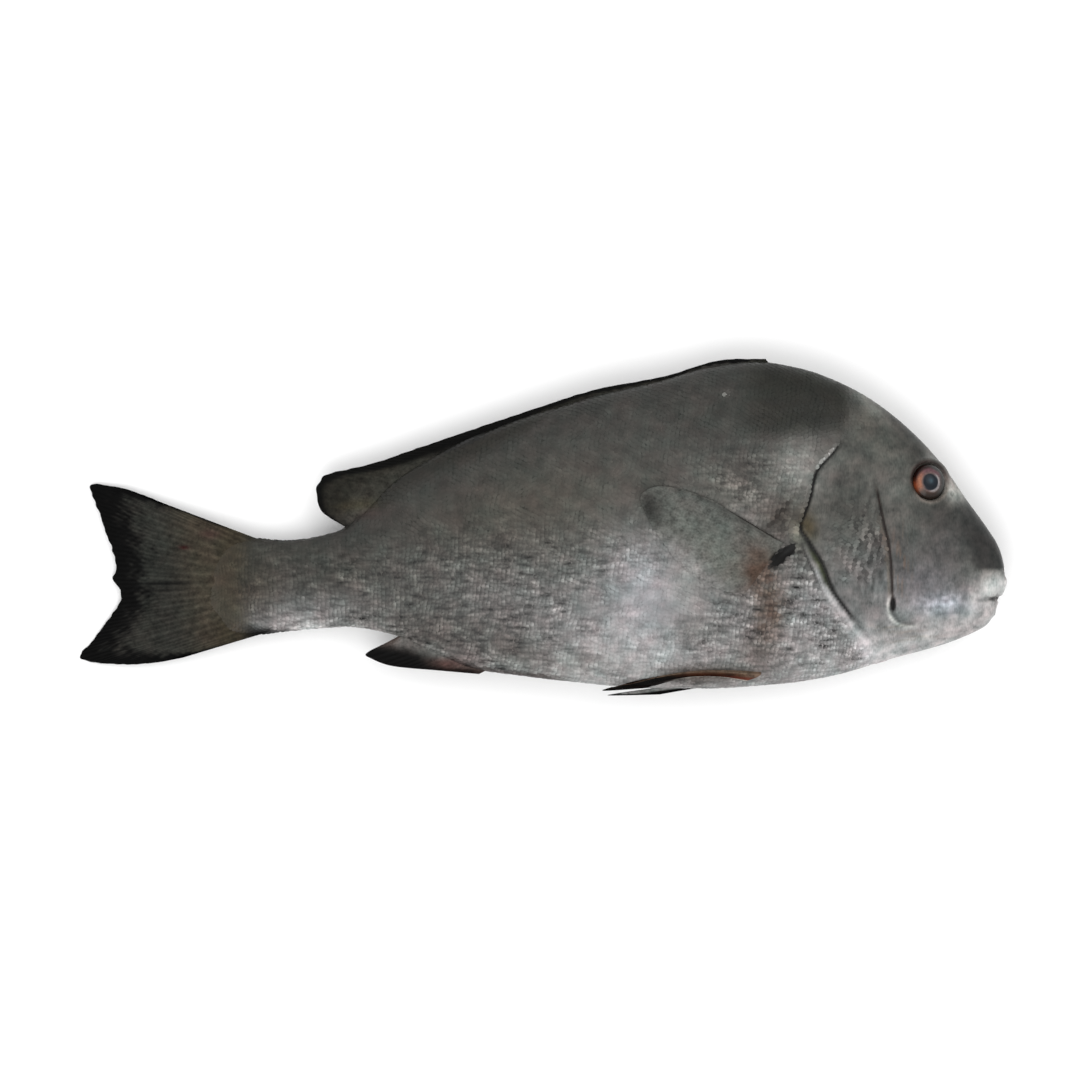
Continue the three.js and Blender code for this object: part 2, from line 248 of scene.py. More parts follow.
def edgeDistance(lineAt, x, y):
    # distance in front of an edge line, minus behind it
    slope = (lineAt(y + 1) - lineAt(y - 1)) / 2
    return (x - lineAt(y)) / np.sqrt(1 + slope ** 2)


def eyeRadius(x, y):
    # 1 on the outline of the eye
    dx, dy = x - head["eye"][0], y - head["eye"][1]
    c, s = math.cos(head["eyeTurn"]), math.sin(head["eyeTurn"])
    return np.hypot((dx * c + dy * s) / head["eyeAxes"][0], (dy * c - dx * s) / head["eyeAxes"][1])


def spot(x, y, cx, cy, rx, ry, turn=0.0):
    # a soft round spot, 1 at its middle
    c, s = math.cos(turn), math.sin(turn)
    dx, dy = x - cx, y - cy
    return np.exp(-((dx * c + dy * s) / rx) ** 2 - ((dy * c - dx * s) / ry) ** 2)


def mouthRise(x, y):
    # height over the slit between the lips
    return y - head["mouthLevel"] - 0.06 * (x - 262)


def hookReach(x, y):
    return np.hypot(x - head["hook"][0], y - head["hook"][1])


def gillRelief(x, y):
    d = edgeDistance(gillAt, x, y)
    ends = smooth(54, 46, y) * smooth(-74, -62, y)
    out = head["gillStep"] * smooth(-0.5, 0.4, d) * np.exp(-(np.maximum(d, 0) / 26) ** 2) * ends
    out -= 0.9 * np.exp(-(np.maximum(-d, 0) / 3) ** 2) * smooth(0.5, -0.4, d) * ends
    f = edgeDistance(flapAt, x, y)
    low = smooth(-4, -14, y) * smooth(-90, -78, y)
    out += head["flapStep"] * smooth(-0.5, 0.3, f) * smooth(0.2, -1.2, d) * low
    return out - 0.35 * np.exp(-((f + 1.2) / 1.1) ** 2) * low


def cheekRelief(x, y):
    c = edgeDistance(cheekAt, x, y)
    ends = smooth(30, 22, y) * smooth(-53, -49, y)
    out = head["cheekStep"] * smooth(-0.5, 0.5, c) * np.exp(-(np.maximum(c, 0) / 15) ** 2) * ends
    out -= 0.75 * np.exp(-((c + 0.5) / 0.9) ** 2) * ends
    hook = hookReach(x, y) - 10.6    # the lower corner of the cheek plate
    return out - 0.6 * np.exp(-(hook / 0.9) ** 2) * smooth(-46, -51, y) * smooth(226, 216, x)


def eyeRelief(r):
    # the eye's hollow, its rim and the furrow round the rim
    out = 1.1 * np.exp(-((r - 1.14) / 0.12) ** 2) - 0.4 * np.exp(-((r - 1.42) / 0.14) ** 2)
    return out - 3.2 * smooth(1.05, 0.86, r)


def mouthRelief(x, y):
    # lips, and the slit between them
    inMouth = smooth(head["mouthCorner"] - 1.5, head["mouthCorner"] + 6, x)
    rise = mouthRise(x, y)
    out = 1.5 * inMouth * smooth(0.2, 2.6, rise) * smooth(13.5, 9, rise)
    out += 1.2 * inMouth * smooth(-0.2, -2.4, rise) * smooth(-12.5, -8.5, rise)
    out -= 1.7 * np.exp(-((rise + 0.2) / 0.8) ** 2) * smooth(261, 267, x)
    out -= 0.3 * np.exp(-((rise + 0.6) / 1.1) ** 2) * smooth(254, 258, x)
    out -= 0.7 * np.exp(-((rise - 16.5) / 0.9) ** 2) * smooth(253, 257, x)
    out -= 0.7 * spot(x, y, 251, -40, 1.3, 6.5, -0.2)
    out += 0.6 * spot(x, y, 255.4, -41.5, 2.2, 3.6)
    crease = rise - 6.2 - 0.3 * (x - 264)
    out -= 0.45 * np.exp(-(crease / 0.8) ** 2) * smooth(255, 259, x) * smooth(272, 266, x)
    return out - 0.3 * np.exp(-((rise + 6.4) / 1.2) ** 2) * smooth(252, 256, x)


def relief(x, y):
    # how far the skin stands out of the plain form, in millimetres
    r = eyeRadius(x, y)
    out = gillRelief(x, y) + cheekRelief(x, y) + eyeRelief(r) + mouthRelief(x, y)
    # nostrils, the hollow in front of the eye, jaw folds
    out -= 1.2 * spot(x, y, 246.5, 17.0, 0.9, 1.2) + 1.0 * spot(x, y, 243.2, 20.2, 0.8, 1.0)
    out += 0.5 * spot(x, y, 245, 18.4, 3.4, 4.2)
    out -= 0.8 * spot(x, y, 246, 2, 10, 14)
    out += 0.8 * spot(x, y, 216, 2, 14, 18) * smooth(1.2, 1.6, r)
    for level, depth in ((-66, 0.4), (-70.5, 0.35), (-61.5, 0.3)):
        fold = y - level + 0.32 * (x - 225)
        out -= depth * np.exp(-(fold / 0.9) ** 2) * smooth(196, 208, x) * smooth(256, 240, x)
    # hollow under the side fin's root
    out -= 1.8 * spot(x, y, *head["axil"], 3.4, 9, -0.88)
    out += 0.9 * spot(x, y, 148.5, -9, 5, 9, -0.35)
    # slack flesh: long soft dents along the trunk, and a bony, uneven head
    trunk = smooth(165, 140, x)
    out += 0.22 * ripple(x, y * 1.6, 46, 3) * trunk + 0.10 * ripple(x, y, 17, 4) * (1 - trunk)
    out += 0.05 * ripple(x, y, 7, 5) * (1 - trunk)
    return out


def fadeEdge(angle):
    # relief dies out at the ridge of the back and of the belly, where the sides meet
    return smooth(0.0, 0.09, np.abs(np.sin(angle)))


def skinPoints(x, angle):
    here = baseSkin(x, angle)
    step = 0.4
    alongX = baseSkin(np.minimum(x + step, body["snout"] - 0.02), angle) - baseSkin(x - step, angle)
    turn = 0.004
    around = baseSkin(x, angle + turn) - baseSkin(x, angle - turn)
    normal = np.cross(around, alongX)
    size = np.linalg.norm(normal, axis=-1, keepdims=True)
    normal = np.where(size > 1e-9, normal / np.maximum(size, 1e-9), 0)
    outward = np.sign(np.sum(normal * (here - np.stack([x, widestAt(x), middleAt(x)], -1)), -1))
    normal = normal * outward[..., None]
    moved = here + normal * (relief(here[..., 0], here[..., 1]) * fadeEdge(angle))[..., None]
    z = moved[..., 2]
    moved[..., 2] = 0.5 * (z + np.sqrt(z * z + body["bed"] ** 2))    # pressed flat where it rests
    return moved, normal


def angleOf(x, y, side):
    a = np.arccos(levelOf(x, y))
    return a if side > 0 else 2 * math.pi - a


def skinHeight(x, y, side):
    return skinPoints(np.asarray(x, float), angleOf(x, y, side))[0][..., 2]


# the colours of the skin
paint = {
    # grey by the share of the height from belly to back, in the middle of the trunk
    "belly to back": [(0, 165), (0.08, 158), (0.2, 140), (0.34, 118), (0.5, 97), (0.62, 86), (0.76, 77),
                      (0.9, 70), (1, 58)],
    # how pale the flank is along the length, as a factor
    "tail to snout": [(-205, 0.62), (-185, 0.72), (-150, 0.9), (-110, 0.88), (-60, 0.9), (0, 0.98),
                      (60, 1.04), (120, 1.0), (180, 1.0), (240, 1.05), (275, 1.1)],
    "exposure": 1.72,         # the light is this much stronger than a white floor needs
    # soft strokes: x, y, half length, half width, turn, strength, colour
    "strokes": {
        "silver flank": (62, -38, 24, 34, 0.2, 0.78, (190, 190, 196)),
        "silver belly": (48, -72, 30, 14, 0.1, 0.6, (190, 190, 192)),
        "pale under the side fin": (88, -34, 13, 17, 0.2, 0.55, (164, 165, 162)),
        "grey by the stain": (113, -24, 9, 16, 0.1, 0.6, (98, 100, 93)),
        "grey over the belly fin": (92, -61, 18, 10, 0.05, 0.45, (104, 102, 98)),
        "shadow on the belly fin": (96, -86.5, 28, 6, 0.04, 0.7, (58, 48, 42)),
        "belly by the vent": (10, -84, 50, 9, 0.1, 0.5, (176, 176, 174)),
        "dim rear belly": (-60, -60, 50, 20, -0.05, 0.8, (76, 73, 69)),
        "grey on the stalk": (-120, -30, 40, 12, 0, 0.3, (70, 68, 62)),
        "dim rear flank": (-84, -38, 34, 15, 0.05, 0.45, (66, 64, 58)),
        "dim before the vent": (-16, -72, 20, 12, -0.2, 0.6, (88, 84, 80)),
        "dim ahead of it": (22, -77, 14, 6, 0, 0.35, (104, 102, 98)),
        "dark back band": (118, 68, 46, 14, 0.02, 0.55, (64, 64, 60)),
        "light crown": (192, 64, 7, 12, -0.8, 0.6, (112, 112, 104)),
        # painted rim light: a pale strip along the outline of the crown
        "rim light on the crown's edge": (195, 73, 16, 4.5, -0.82, 0.75, (158, 158, 152)),
        "behind the eye": (209, 29, 11, 16, 0.2, 0.6, (128, 128, 124)),
        "over the eye": (231, 42.5, 9, 3.6, -0.95, 0.6, (146, 146, 142)),
        # a painted highlight on the shoulder
        "shoulder": (153, 36, 17, 15, 0.5, 0.85, (162, 162, 158)),
        "below the shoulder": (134, 16, 14, 12, 0.3, 0.45, (126, 124, 120)),
        "crown by the gill": (186, 42, 16, 12, 0.2, 0.4, (112, 114, 108)),
        "above the side fin": (112, 22, 24, 13, -0.5, 0.55, (124, 122, 116)),
        "bright over the side fin": (121, 7, 10, 4.5, -0.6, 0.5, (142, 142, 140)),
        "warm trunk": (-4, 16, 56, 24, 0.2, 0.3, (106, 100, 88)),
        "off the fin's tip": (84, 30, 9, 9, 0, 0.4, (106, 104, 100)),
        "trunk middle": (66, 19, 9, 12, 0, 0.5, (60, 60, 55)),
        "olive trunk": (-20, 10, 70, 14, 0.15, 0.3, (80, 76, 68)),
        "tail stalk top": (-150, -14, 30, 8, 0, 0.5, (76, 76, 70)),
        "tail stalk middle": (-170, -34, 14, 20, 0, 0.6, (68, 62, 52)),
        "tail stalk belly": (-144, -61.5, 40, 6, 0, 0.95, (206, 206, 206)),
        "belly patch": (127, -74, 15, 13, 0.3, 0.55, (98, 90, 86)),
        "behind the gill's slit": (163, -44, 9, 11, 0.6, 0.5, (172, 174, 176)),
        "gill's corner": (157, 1, 5, 8, 0.25, 0.85, (76, 64, 42)),
        "behind the gill": (150, -3, 2.8, 10, 0.2, 0.65, (156, 150, 136)),
        "mottled corner": (143.5, 6, 9, 10, 0, 0.65, (74, 66, 60)),
        "fold over the side fin": (140.5, 7.5, 13, 1.4, 0.85, 0.8, (44, 38, 34)),
        "throat": (212, -74, 36, 9, 0.3, 0.85, (198, 199, 200)),
        # a painted highlight: a white patch on the isthmus
        "highlight on the isthmus": (192, -71, 5.5, 9, 0.3, 0.85, (234, 234, 238)),
        "throat by the gill": (206, -67, 10, 6, 0, 0.4, (206, 206, 206)),
        "chin": (250, -58, 20, 8, 0.5, 0.85, (194, 194, 194)),
        "lips": (266, -37, 10, 11, 0, 1.0, (222, 221, 219)),
        "upper lip": (271, -33, 5, 6, 0.3, 0.5, (232, 232, 232)),
        # painted sheen: the silver cheek painted pale where it catches the light, over its silver skin
        "silver cheek with painted sheen": (237, -44.5, 17, 6.5, 0.03, 0.95, (198, 204, 214)),
        "blue cheek": (226, -30, 22, 12, 0, 0.4, (106, 106, 116)),
        # a pale patch before the eye, drawn out along the profile with painted rim light on the outline
        "pale patch and rim light by the eye": (244, 21.5, 11, 5.5, -0.92, 1.0, (226, 224, 218)),
        "brow": (241, 33, 3.4, 9, 0.62, 0.5, (140, 140, 136)),
        "under the eye": (236, 8, 20, 5, -0.3, 0.5, (60, 60, 58)),
        "mouth's corner": (255.4, -41.5, 2.4, 3.6, 0, 0.7, (214, 214, 212)),
        "fold over the lip": (257.5, -29.5, 2.6, 2.8, 0, 0.6, (98, 98, 98)),
        "fold behind the mouth": (250.6, -39, 1.5, 6.5, -0.2, 0.6, (112, 114, 116)),
        "dark in the silver": (240, -50.5, 6, 1.4, 0.1, 0.5, (104, 106, 112)),
        "snout": (238, -10, 20, 14, 0, 0.5, (72, 72, 74)),
        "behind the cheek": (197, -22, 15, 17, 0, 0.4, (74, 74, 74)),
        "opercle low": (190, -44, 14, 12, 0.4, 0.4, (110, 110, 109)),
        "opercle top": (178, 8, 12, 14, 0.4, 0.35, (66, 66, 62)),
        "cheek by the line": (214, -20, 9, 18, 0, 0.3, (82, 80, 80)),
        "green crown": (205, 45, 30, 14, -0.9, 0.35, (92, 94, 86)),
        "scar": (110, 79, 1.6, 0.8, 0.3, 0.95, (205, 205, 200)),
    },
}
bellyToBack = smoothLine(paint["belly to back"])
tailToSnout = smoothLine(paint["tail to snout"])
outerBackAt = smoothLine([(-134, 21), (-128, 31), (-97, 39.4), (-54, 54), (-11, 68.4), (31, 81.8),
                          (74, 90.2), (104, 99.2), (133, 100.3)])
# how far in from the edge of the back the brown band and the black rim reach
bandAt = smoothLine([(-134, 34), (-112, 37), (-86, 31), (-66, 24), (-40, 23), (-24, 19), (-10, 15), (5, 9),
                     (35, 4.5), (75, 3), (133, 1)])
rimAt = smoothLine([(-134, 5), (-100, 6), (-72, 10), (-40, 9.5), (-22, 6), (5, 4), (35, 2.6), (110, 2),
                    (133, 0.4)])


def linear(tone):
    tone = np.clip(np.asarray(tone, float), 0, 255) / 255
    return np.where(tone <= 0.04045, tone / 12.92, ((tone + 0.055) / 1.055) ** 2.4) / paint["exposure"]


def toneMix(first, second, share):
    first, second = np.asarray(first, float), np.asarray(second, float)
    return first + (second - first) * np.clip(share, 0, 1)[..., None]


def stainAndAxilShade(x, y, tone):
    # brown skin under the root of the side fin, and painted shade that makes the hollow at its root near
    # black
    share = 0.95 * spot(x, y, 128.5, -25, 8.5, 14, 0.15) + 0.9 * spot(x, y, 135.5, -51, 8, 16, -0.15)
    share = np.clip(share * (0.95 + 0.32 * ripple(x, y, 8, 71)), 0, 0.9)
    tone = toneMix(tone, (90, 72, 62), share)
    # painted shade: near black in the hollow under the fin's root, over the dark skin there
    hollow = spot(x, y, *head["axil"], 3.8, 9.5, -0.86) + 0.6 * spot(x, y, 138.5, -19.5, 3, 4.5, -0.3)
    return toneMix(tone, (3, 2, 1), smooth(0.28, 0.5, hollow))


def backMargin(x, y, tone):
    # the dark back of the rear half, over the flesh and its fin alike
    depth = outerBackAt(x) - y
    ahead = smooth(-152, -136, x)
    band, rim = bandAt(x), rimAt(x)
    tone = toneMix(tone, (43, 42, 37), 0.9 * smooth(band, 0.4 * band, depth) * ahead)
    tone = toneMix(tone, (92, 78, 46), 0.4 * spot(x, y, -107, 14, 11, 3.6, 0.1))
    tone = toneMix(tone, (98, 80, 76), 0.4 * spot(x, y, -101, 8.5, 10, 3.2, 0.1))
    return toneMix(tone, (8, 8, 7), smooth(rim, 0.45 * rim, depth + 0.7 * ripple(x, y, 6, 51)) * ahead)


def ventShade(x, y, tone):
    # black towards the tip of the vent fin, red brown ahead of that
    black = smooth(-56, -76, x + 0.9 * (y + 80)) * smooth(-68, -76, y + 0.16 * (x + 84))
    tone = toneMix(tone, (82, 52, 48), 0.55 * spot(x, y, -58, -80.5, 13, 3.6, 0.05))
    return toneMix(tone, (6, 6, 6), 0.97 * black)


def bodyTone(x, y):
    share = np.clip((y - bellyAt(x)) / np.maximum(backAt(x) - bellyAt(x), 1), 0, 1)
    grey = bellyToBack(share) * tailToSnout(x)
    warm = smooth(0.2, 0.6, share)[..., None]
    tone = grey[..., None] * (np.array((1.0, 1.0, 1.0)) - warm * np.array((-0.005, 0.0, 0.045)))
    for cx, cy, rx, ry, turn, strength, colour in paint["strokes"].values():
        tone = toneMix(tone, colour, strength * spot(x, y, cx, cy, rx, ry, turn))
    # the dark saddle on the nape ends sharply towards the head, the snout's patch towards the lip
    saddle = smooth(51, 64, y - 0.08 * (x - 150)) * smooth(110, 140, x)
    saddle = saddle * smooth(185, 176, x + 0.5 * ripple(x, y, 9, 13))
    tone = toneMix(tone, (36, 37, 31), 0.88 * saddle)
    patch = smooth(252, 261, x + 0.33 * (y + 22)) * smooth(-25.6, -23, y) * smooth(24, 8, y)
    tone = toneMix(tone, (50, 50, 49), 0.85 * patch * (1 - 0.35 * spot(x, y, 269.5, -14, 2, 3)))
    patchy = 1 + 0.05 * ripple(x, y, 34, 11) + 0.06 * ripple(x, y, 13, 12)
    # painted glints: speckles over the silver on the cheek
    patchy += 0.16 * ripple(x, y, 5, 14) * spot(x, y, 237, -44, 16, 7)
    patchy += 0.20 * ripple(x, y, 7, 15) * spot(x, y, 146, 4, 13, 15)
    tone = tone * patchy[..., None]
    tone = ventShade(x, y, backMargin(x, y, stainAndAxilShade(x, y, tone)))
    edgeLine = smooth(3.2, 1.0, y - bellyAt(x)) * smooth(-58, -50, x) * smooth(24, 0, x)
    tone = toneMix(tone, (48, 40, 38), 0.8 * edgeLine)
    # the tail fin's root
    tone = toneMix(tone, (70, 63, 50), 0.85 * smooth(-170, -184, x - 0.1 * np.abs(y + 34)))
    return toneMix(tone, (76, 70, 60), 0.7 * smooth(-188, -196, x))


def gillLines(x, y, tone):
    # a dark line of painted shade under the gill cover's edge, a white line of painted glint along its top,
    # and the pale membrane behind it
    d = edgeDistance(gillAt, x, y)
    ends = smooth(50, 44, y) * smooth(-56, -49, y)
    wide = 0.9 + 0.8 * smooth(-4, -14, y) * smooth(-44, -28, y)
    # painted shade: the dark line just behind the gill cover's edge, where the edge overhangs
    tone = tone * (1 - 0.95 * np.exp(-((d + 0.9) / wide) ** 2) * ends)[..., None]
    # painted highlight: a white glint along the top of the gill cover's edge
    glint = 0.9 * np.exp(-((d + 2.3) / 0.9) ** 2) * smooth(33, 40, y) * smooth(51, 46, y)
    tone = toneMix(tone, (236, 236, 234), glint)
    olive = 0.8 * np.exp(-((d + 2.2) / 1.5) ** 2) * smooth(-10, -18, y) * smooth(-40, -28, y)
    tone = toneMix(tone, (50, 58, 30), olive)
    f = edgeDistance(flapAt, x, y)
    between = smooth(-1.2, 0.8, f) * smooth(-1.6, -3.2, d) * smooth(-10, -34, y) * smooth(-86, -74, y)
    across = np.abs(2 * np.clip(f, 0, 20) / (np.clip(f, 0, 20) + np.clip(-d, 0.1, 20)) - 1)
    patchy = 0.42 + 0.5 * across ** 1.5 + 0.22 * ripple(x, y, 7, 62)
    tone = toneMix(tone, (222, 222, 224), between * np.clip(patchy, 0, 1))
    shadow = np.exp(-((f + 0.9) / 0.7) ** 2) * smooth(-6, -12, y) * smooth(-38, -24, y)
    tone = tone * (1 - 0.6 * shadow)[..., None]
    pale = np.exp(-((f + 2.6) / 1.3) ** 2) * smooth(-40, -48, y) * smooth(-72, -62, y)
    tone = toneMix(tone, (206, 206, 208), 0.45 * pale)
    crease = np.hypot(x - 150.5, y + 6) - 8.6
    crease = np.exp(-(crease / 0.8) ** 2) * smooth(1, 3, y) * smooth(147, 151, x)
    return toneMix(tone, (66, 50, 32), 0.7 * crease)


def cheekLines(x, y, tone):
    # the groove behind the cheek with its white hook, and streaks on both sides of it
    c = edgeDistance(cheekAt, x, y)
    d = edgeDistance(gillAt, x, y)
    ends = smooth(26, 18, y) * smooth(-50, -46, y)
    streaks = smooth(0.1, 0.9, ripple(x, y * 0.16, 3.2, 63)) * smooth(0.6, 1.6, c)
    streaks = streaks * spot(x, y, 212, -20, 6, 18)
    tone = toneMix(tone, (124, 104, 92), 0.75 * streaks)
    grain = ripple(x + 0.9 * ripple(x, y, 9, 66), y * 0.4, 4.2, 64)
    dashed = spot(x, y, 193, -8, 15, 28) * smooth(-0.6, -1.6, c) * smooth(1.5, 3.5, d)
    tone = tone * (1 + 0.42 * dashed * np.clip(grain, -0.9, 1.1))[..., None]
    folds = spot(x, y, 218, -68, 34, 9) * ripple(x * 0.10, y + 0.28 * (225 - x), 5.5, 65)
    tone = tone * (1 + 0.08 * folds)[..., None]
    pale = np.exp(-((c + 2.2) / 0.9) ** 2) * smooth(10, 0, y) * smooth(-44, -36, y)
    tone = toneMix(tone, (128, 116, 104), 0.55 * pale)
    # painted shade: the dark line in the groove behind the cheek's edge
    tone = toneMix(tone, (24, 14, 10), 0.95 * np.exp(-((c + 0.3) / 0.72) ** 2) * ends)
    tone = toneMix(tone, (12, 9, 9), 0.97 * smooth(0.25, 0.6, spot(x, y, 207.7, -45, 1.9, 4.6)))
    hook = hookReach(x, y) - 12.4
    pale = np.exp(-hook ** 2) * smooth(-36, -44, y) * smooth(226, 215, x)
    tone = toneMix(tone, (226, 226, 222), 0.85 * pale)
    shadow = np.exp(-((hook + 2.2) / 1.2) ** 2) * smooth(-40, -46, y) * smooth(226, 218, x)
    return tone * (1 - 0.25 * shadow)[..., None]


def faceLines(x, y, tone):
    # folds of the jaw, painted shade in the slit of the mouth, and the rim of the eye with a painted
    # highlight below and painted shade above
    jawFolds = ((-61, 214, 0.35), (-63.4, 224, 0.3), (-66, 216, 0.25), (-58.5, 205, 0.3))
    for level, place, strength in jawFolds:
        fold = y - level - 1.2 * ripple(x, y * 0, 30, 61 + int(-level))
        line = np.exp(-(fold / 0.7) ** 2 - ((x - place) / 12) ** 2)
        tone = toneMix(tone, (140, 128, 114), strength * line)
    rise = mouthRise(x, y)
    # painted shade: darker in the slit between the lips
    tone = tone * (1 - 0.7 * np.exp(-((rise + 0.2) / 0.9) ** 2) * smooth(264, 268, x))[..., None]
    tone = tone * (1 - 0.12 * np.exp(-((rise + 0.6) / 1.2) ** 2) * smooth(255, 259, x))[..., None]
    r = eyeRadius(x, y)
    # painted light and shade: the eye's rim pale on its lower, snout side and dark on its upper side
    upward = (y - 27) / 12 - 0.3 * (x - 229) / 11
    eyeRimLightAndShade = toneMix((150, 138, 130), (40, 26, 24), smooth(-0.6, 0.5, upward))
    return toneMix(tone, eyeRimLightAndShade, 0.75 * np.exp(-((r - 1.04) / 0.10) ** 2))


def paintAt(x, y):
    tone = gillLines(x, y, bodyTone(x, y))
    return linear(faceLines(x, y, cheekLines(x, y, tone)))


class Wire:
    # a socket in a material; sums with numbers or other wires add Math nodes
    def __init__(self, tree, socket=None):
        self.tree = tree
        self.socket = socket

    def node(self, kind, settings, values, out=0):
        made = self.tree.nodes.new(kind)
        for key, value in settings.items():
            setattr(made, key, value)
        for key, value in values.items():
            if isinstance(value, Wire):
                self.tree.links.new(value.socket, made.inputs[key])
            else:
                made.inputs[key].default_value = value
        return Wire(self.tree, made.outputs[out])

    def maths(self, operation, first, second=0.0, clamp=False):
        settings = {"operation": operation, "use_clamp": clamp}
        return self.node("ShaderNodeMath", settings, {0: first, 1: second})

    def __add__(self, other):
        return self.maths("ADD", self, other)

    def __radd__(self, other):
        return self.maths("ADD", other, self)

    def __sub__(self, other):
        return self.maths("SUBTRACT", self, other)

    def __rsub__(self, other):
        return self.maths("SUBTRACT", other, self)

    def __mul__(self, other):
        return self.maths("MULTIPLY", self, other)

    def __rmul__(self, other):
        return self.maths("MULTIPLY", other, self)

    def clamp(self):
        return self.maths("ADD", self, 0.0, clamp=True)

    def mixColour(self, factor, first, second, blend="MIX"):
        settings = {"data_type": "RGBA", "blend_type": blend}
        return self.node("ShaderNodeMix", settings, {0: factor, 6: first, 7: second}, out=2)

    def attribute(self, name, out="Fac"):
        return self.node("ShaderNodeAttribute", {"attribute_name": name}, {}, out=out)

    def coordinates(self):
        return self.node("ShaderNodeTexCoord", {}, {}, out="Object")

    def stretched(self, coords, x, y, z):
        # coordinates that make a pattern of size 1 be x, y and z millimetres large
        scale = Vector((1 / x, 1 / y, 1 / z))
        return self.node("ShaderNodeMapping", {}, {"Vector": coords, "Scale": scale})

    def dim(self, tone, gain):
        grey = self.node("ShaderNodeCombineColor", {}, {"Red": gain, "Green": gain, "Blue": gain})
        return self.mixColour(1.0, tone, grey, "MULTIPLY")


def startMaterial(name):
    material = bpy.data.materials.new(name)
    material.use_nodes = True
    tree = material.node_tree
    shader = next(n for n in tree.nodes if n.type == "BSDF_PRINCIPLED")
    return material, Wire(tree), shader


def feed(wire, shader, name):
    wire.tree.links.new(wire.socket, shader.inputs[name])


def noise(wire, coords, size, detail=2.0, roughness=0.5):
    # soft blotches of a size in millimetres
    scale = 1 / (size * mm)
    return wire.node("ShaderNodeTexNoise", {"noise_dimensions": "3D"},
                     {"Vector": coords, "Scale": scale, "Detail": detail, "Roughness": roughness})


def hueDrift(w, coords, amount=1.0):
    # pinkish brown in some patches of the skin, green grey in others
    drift = noise(w, coords, 14, 2.5, 0.6)
    share = ((drift - 0.5) * (2.4 * amount) + 0.5).clamp()
    return w.mixColour(share, (0.925, 1.015, 0.995, 1), (1.085, 0.98, 0.972, 1))


skinLook = {
    "roughness": 0.42,
    "specular": 0.15,
    "mottleSize": 7,         # millimetres
    "speckleSize": 2.2,
    "dashLong": 2.6,
    "dashWide": 0.8,
    "mottle": 1.5,           # how strongly each of them shows
    "speckle": 0.5,
    "dash": 0.7,
    "bump": 0.3,
}


def skinMaterial():
    look = skinLook
    material, w, shader = startMaterial("wet skin")
    coords = w.coordinates()
    upright = w.stretched(coords, look["dashWide"], look["dashLong"], look["dashLong"])
    tone = w.attribute("paint", out="Color")
    mottle = noise(w, coords, look["mottleSize"], 2.0)
    speckle = noise(w, coords, look["speckleSize"], 1.0)
    dash = noise(w, upright, 1, 1.0)
    gain = mottle * look["mottle"] + speckle * look["speckle"] + dash * look["dash"] - 0.35
    colour = w.dim(tone, gain)
    feed(w.mixColour(1.0, colour, hueDrift(w, coords), "MULTIPLY"), shader, "Base Color")
    feed((look["roughness"] - 0.12) + mottle * 0.24, shader, "Roughness")
    height = dash * 0.6 + speckle
    bump = {"Strength": look["bump"], "Distance": 0.25 * mm, "Height": height}
    feed(w.node("ShaderNodeBump", {}, bump), shader, "Normal")
    shader.inputs["Specular IOR Level"].default_value = look["specular"]
    return material


scaleLook = {
    "roughness": 0.38,
    "specular": 0.18,
    "middle": 0.22,       # how pale the middle of a scale is
    # the dark rear rim is partly dark skin and partly painted shadow that each scale casts on the next
    "rim": 0.48,          # how dark its rear rim is
    "spread": 0.62,       # how much one scale differs from the next
    "cloudSize": 5.5,     # millimetres
    "speckleSize": 1.4,
    "rowLong": 9,         # patches of darker scales run along the flank
    "rowWide": 2.6,
    "rowDepth": 3.4,
}


def scaleMaterial():
    look = scaleLook
    material, w, shader = startMaterial("wet scales")
    coords = w.coordinates()
    tone = w.attribute("paint", out="Color")
    tint = w.attribute("tint")
    rim = w.attribute("rim")
    bold = w.attribute("bold")
    cloud = noise(w, coords, look["cloudSize"], 3.0)
    speckle = noise(w, coords, look["speckleSize"], 1.5)
    own = bold * (look["middle"] - rim * look["rim"]) + 1
    own = own * (bold * (tint * look["spread"] - look["spread"] / 2) + 1)
    lengthways = w.stretched(coords, look["rowLong"], look["rowWide"], look["rowWide"])
    rows = noise(w, lengthways, 1, 1.0)
    own = own * (bold * (rows * look["rowDepth"] - look["rowDepth"] / 2) + 1)
    gain = own * ((cloud * 1.8 + speckle * 0.4 - 1.1) * (bold * 0.6 + 0.4) + 1)
    colour = w.dim(tone, gain)
    feed(w.mixColour(1.0, colour, hueDrift(w, coords), "MULTIPLY"), shader, "Base Color")
    feed((look["roughness"] - 0.1) + tint * 0.2, shader, "Roughness")
    shader.inputs["Specular IOR Level"].default_value = look["specular"]
    return material


finLook = {
    "roughness": 0.5,
    "specular": 0.05,
    "ray": 0.26,          # how much darker the web is than the rays
    "bump": 0.4,
}


def finMaterial():
    look = finLook
    material, w, shader = startMaterial("fin skin")
    coords = w.coordinates()
    tone = w.attribute("paint", out="Color")
    ray = w.attribute("ray")
    bold = w.attribute("bold")
    blotch = noise(w, coords, 5, 3.0, 0.65)
    grain = noise(w, coords, 1.3, 2.0)
    own = bold * (ray * look["ray"] - look["ray"] / 2) + 1
    gain = own * (blotch * 2.0 + grain - 0.5)
    colour = w.dim(tone, gain)
    feed(w.mixColour(1.0, colour, hueDrift(w, coords, 0.8), "MULTIPLY"), shader, "Base Color")
    feed((look["roughness"] - 0.1) + grain * 0.2, shader, "Roughness")
    bump = {"Strength": look["bump"], "Distance": 0.2 * mm, "Height": grain}
    feed(w.node("ShaderNodeBump", {}, bump), shader, "Normal")
    shader.inputs["Specular IOR Level"].default_value = look["specular"]
    return material


eyeLook = {
    "Roughness": 0.35,
    "Specular IOR Level": 0.1,
    "Coat Weight": 0.22,
    "Coat Roughness": 0.16,
}


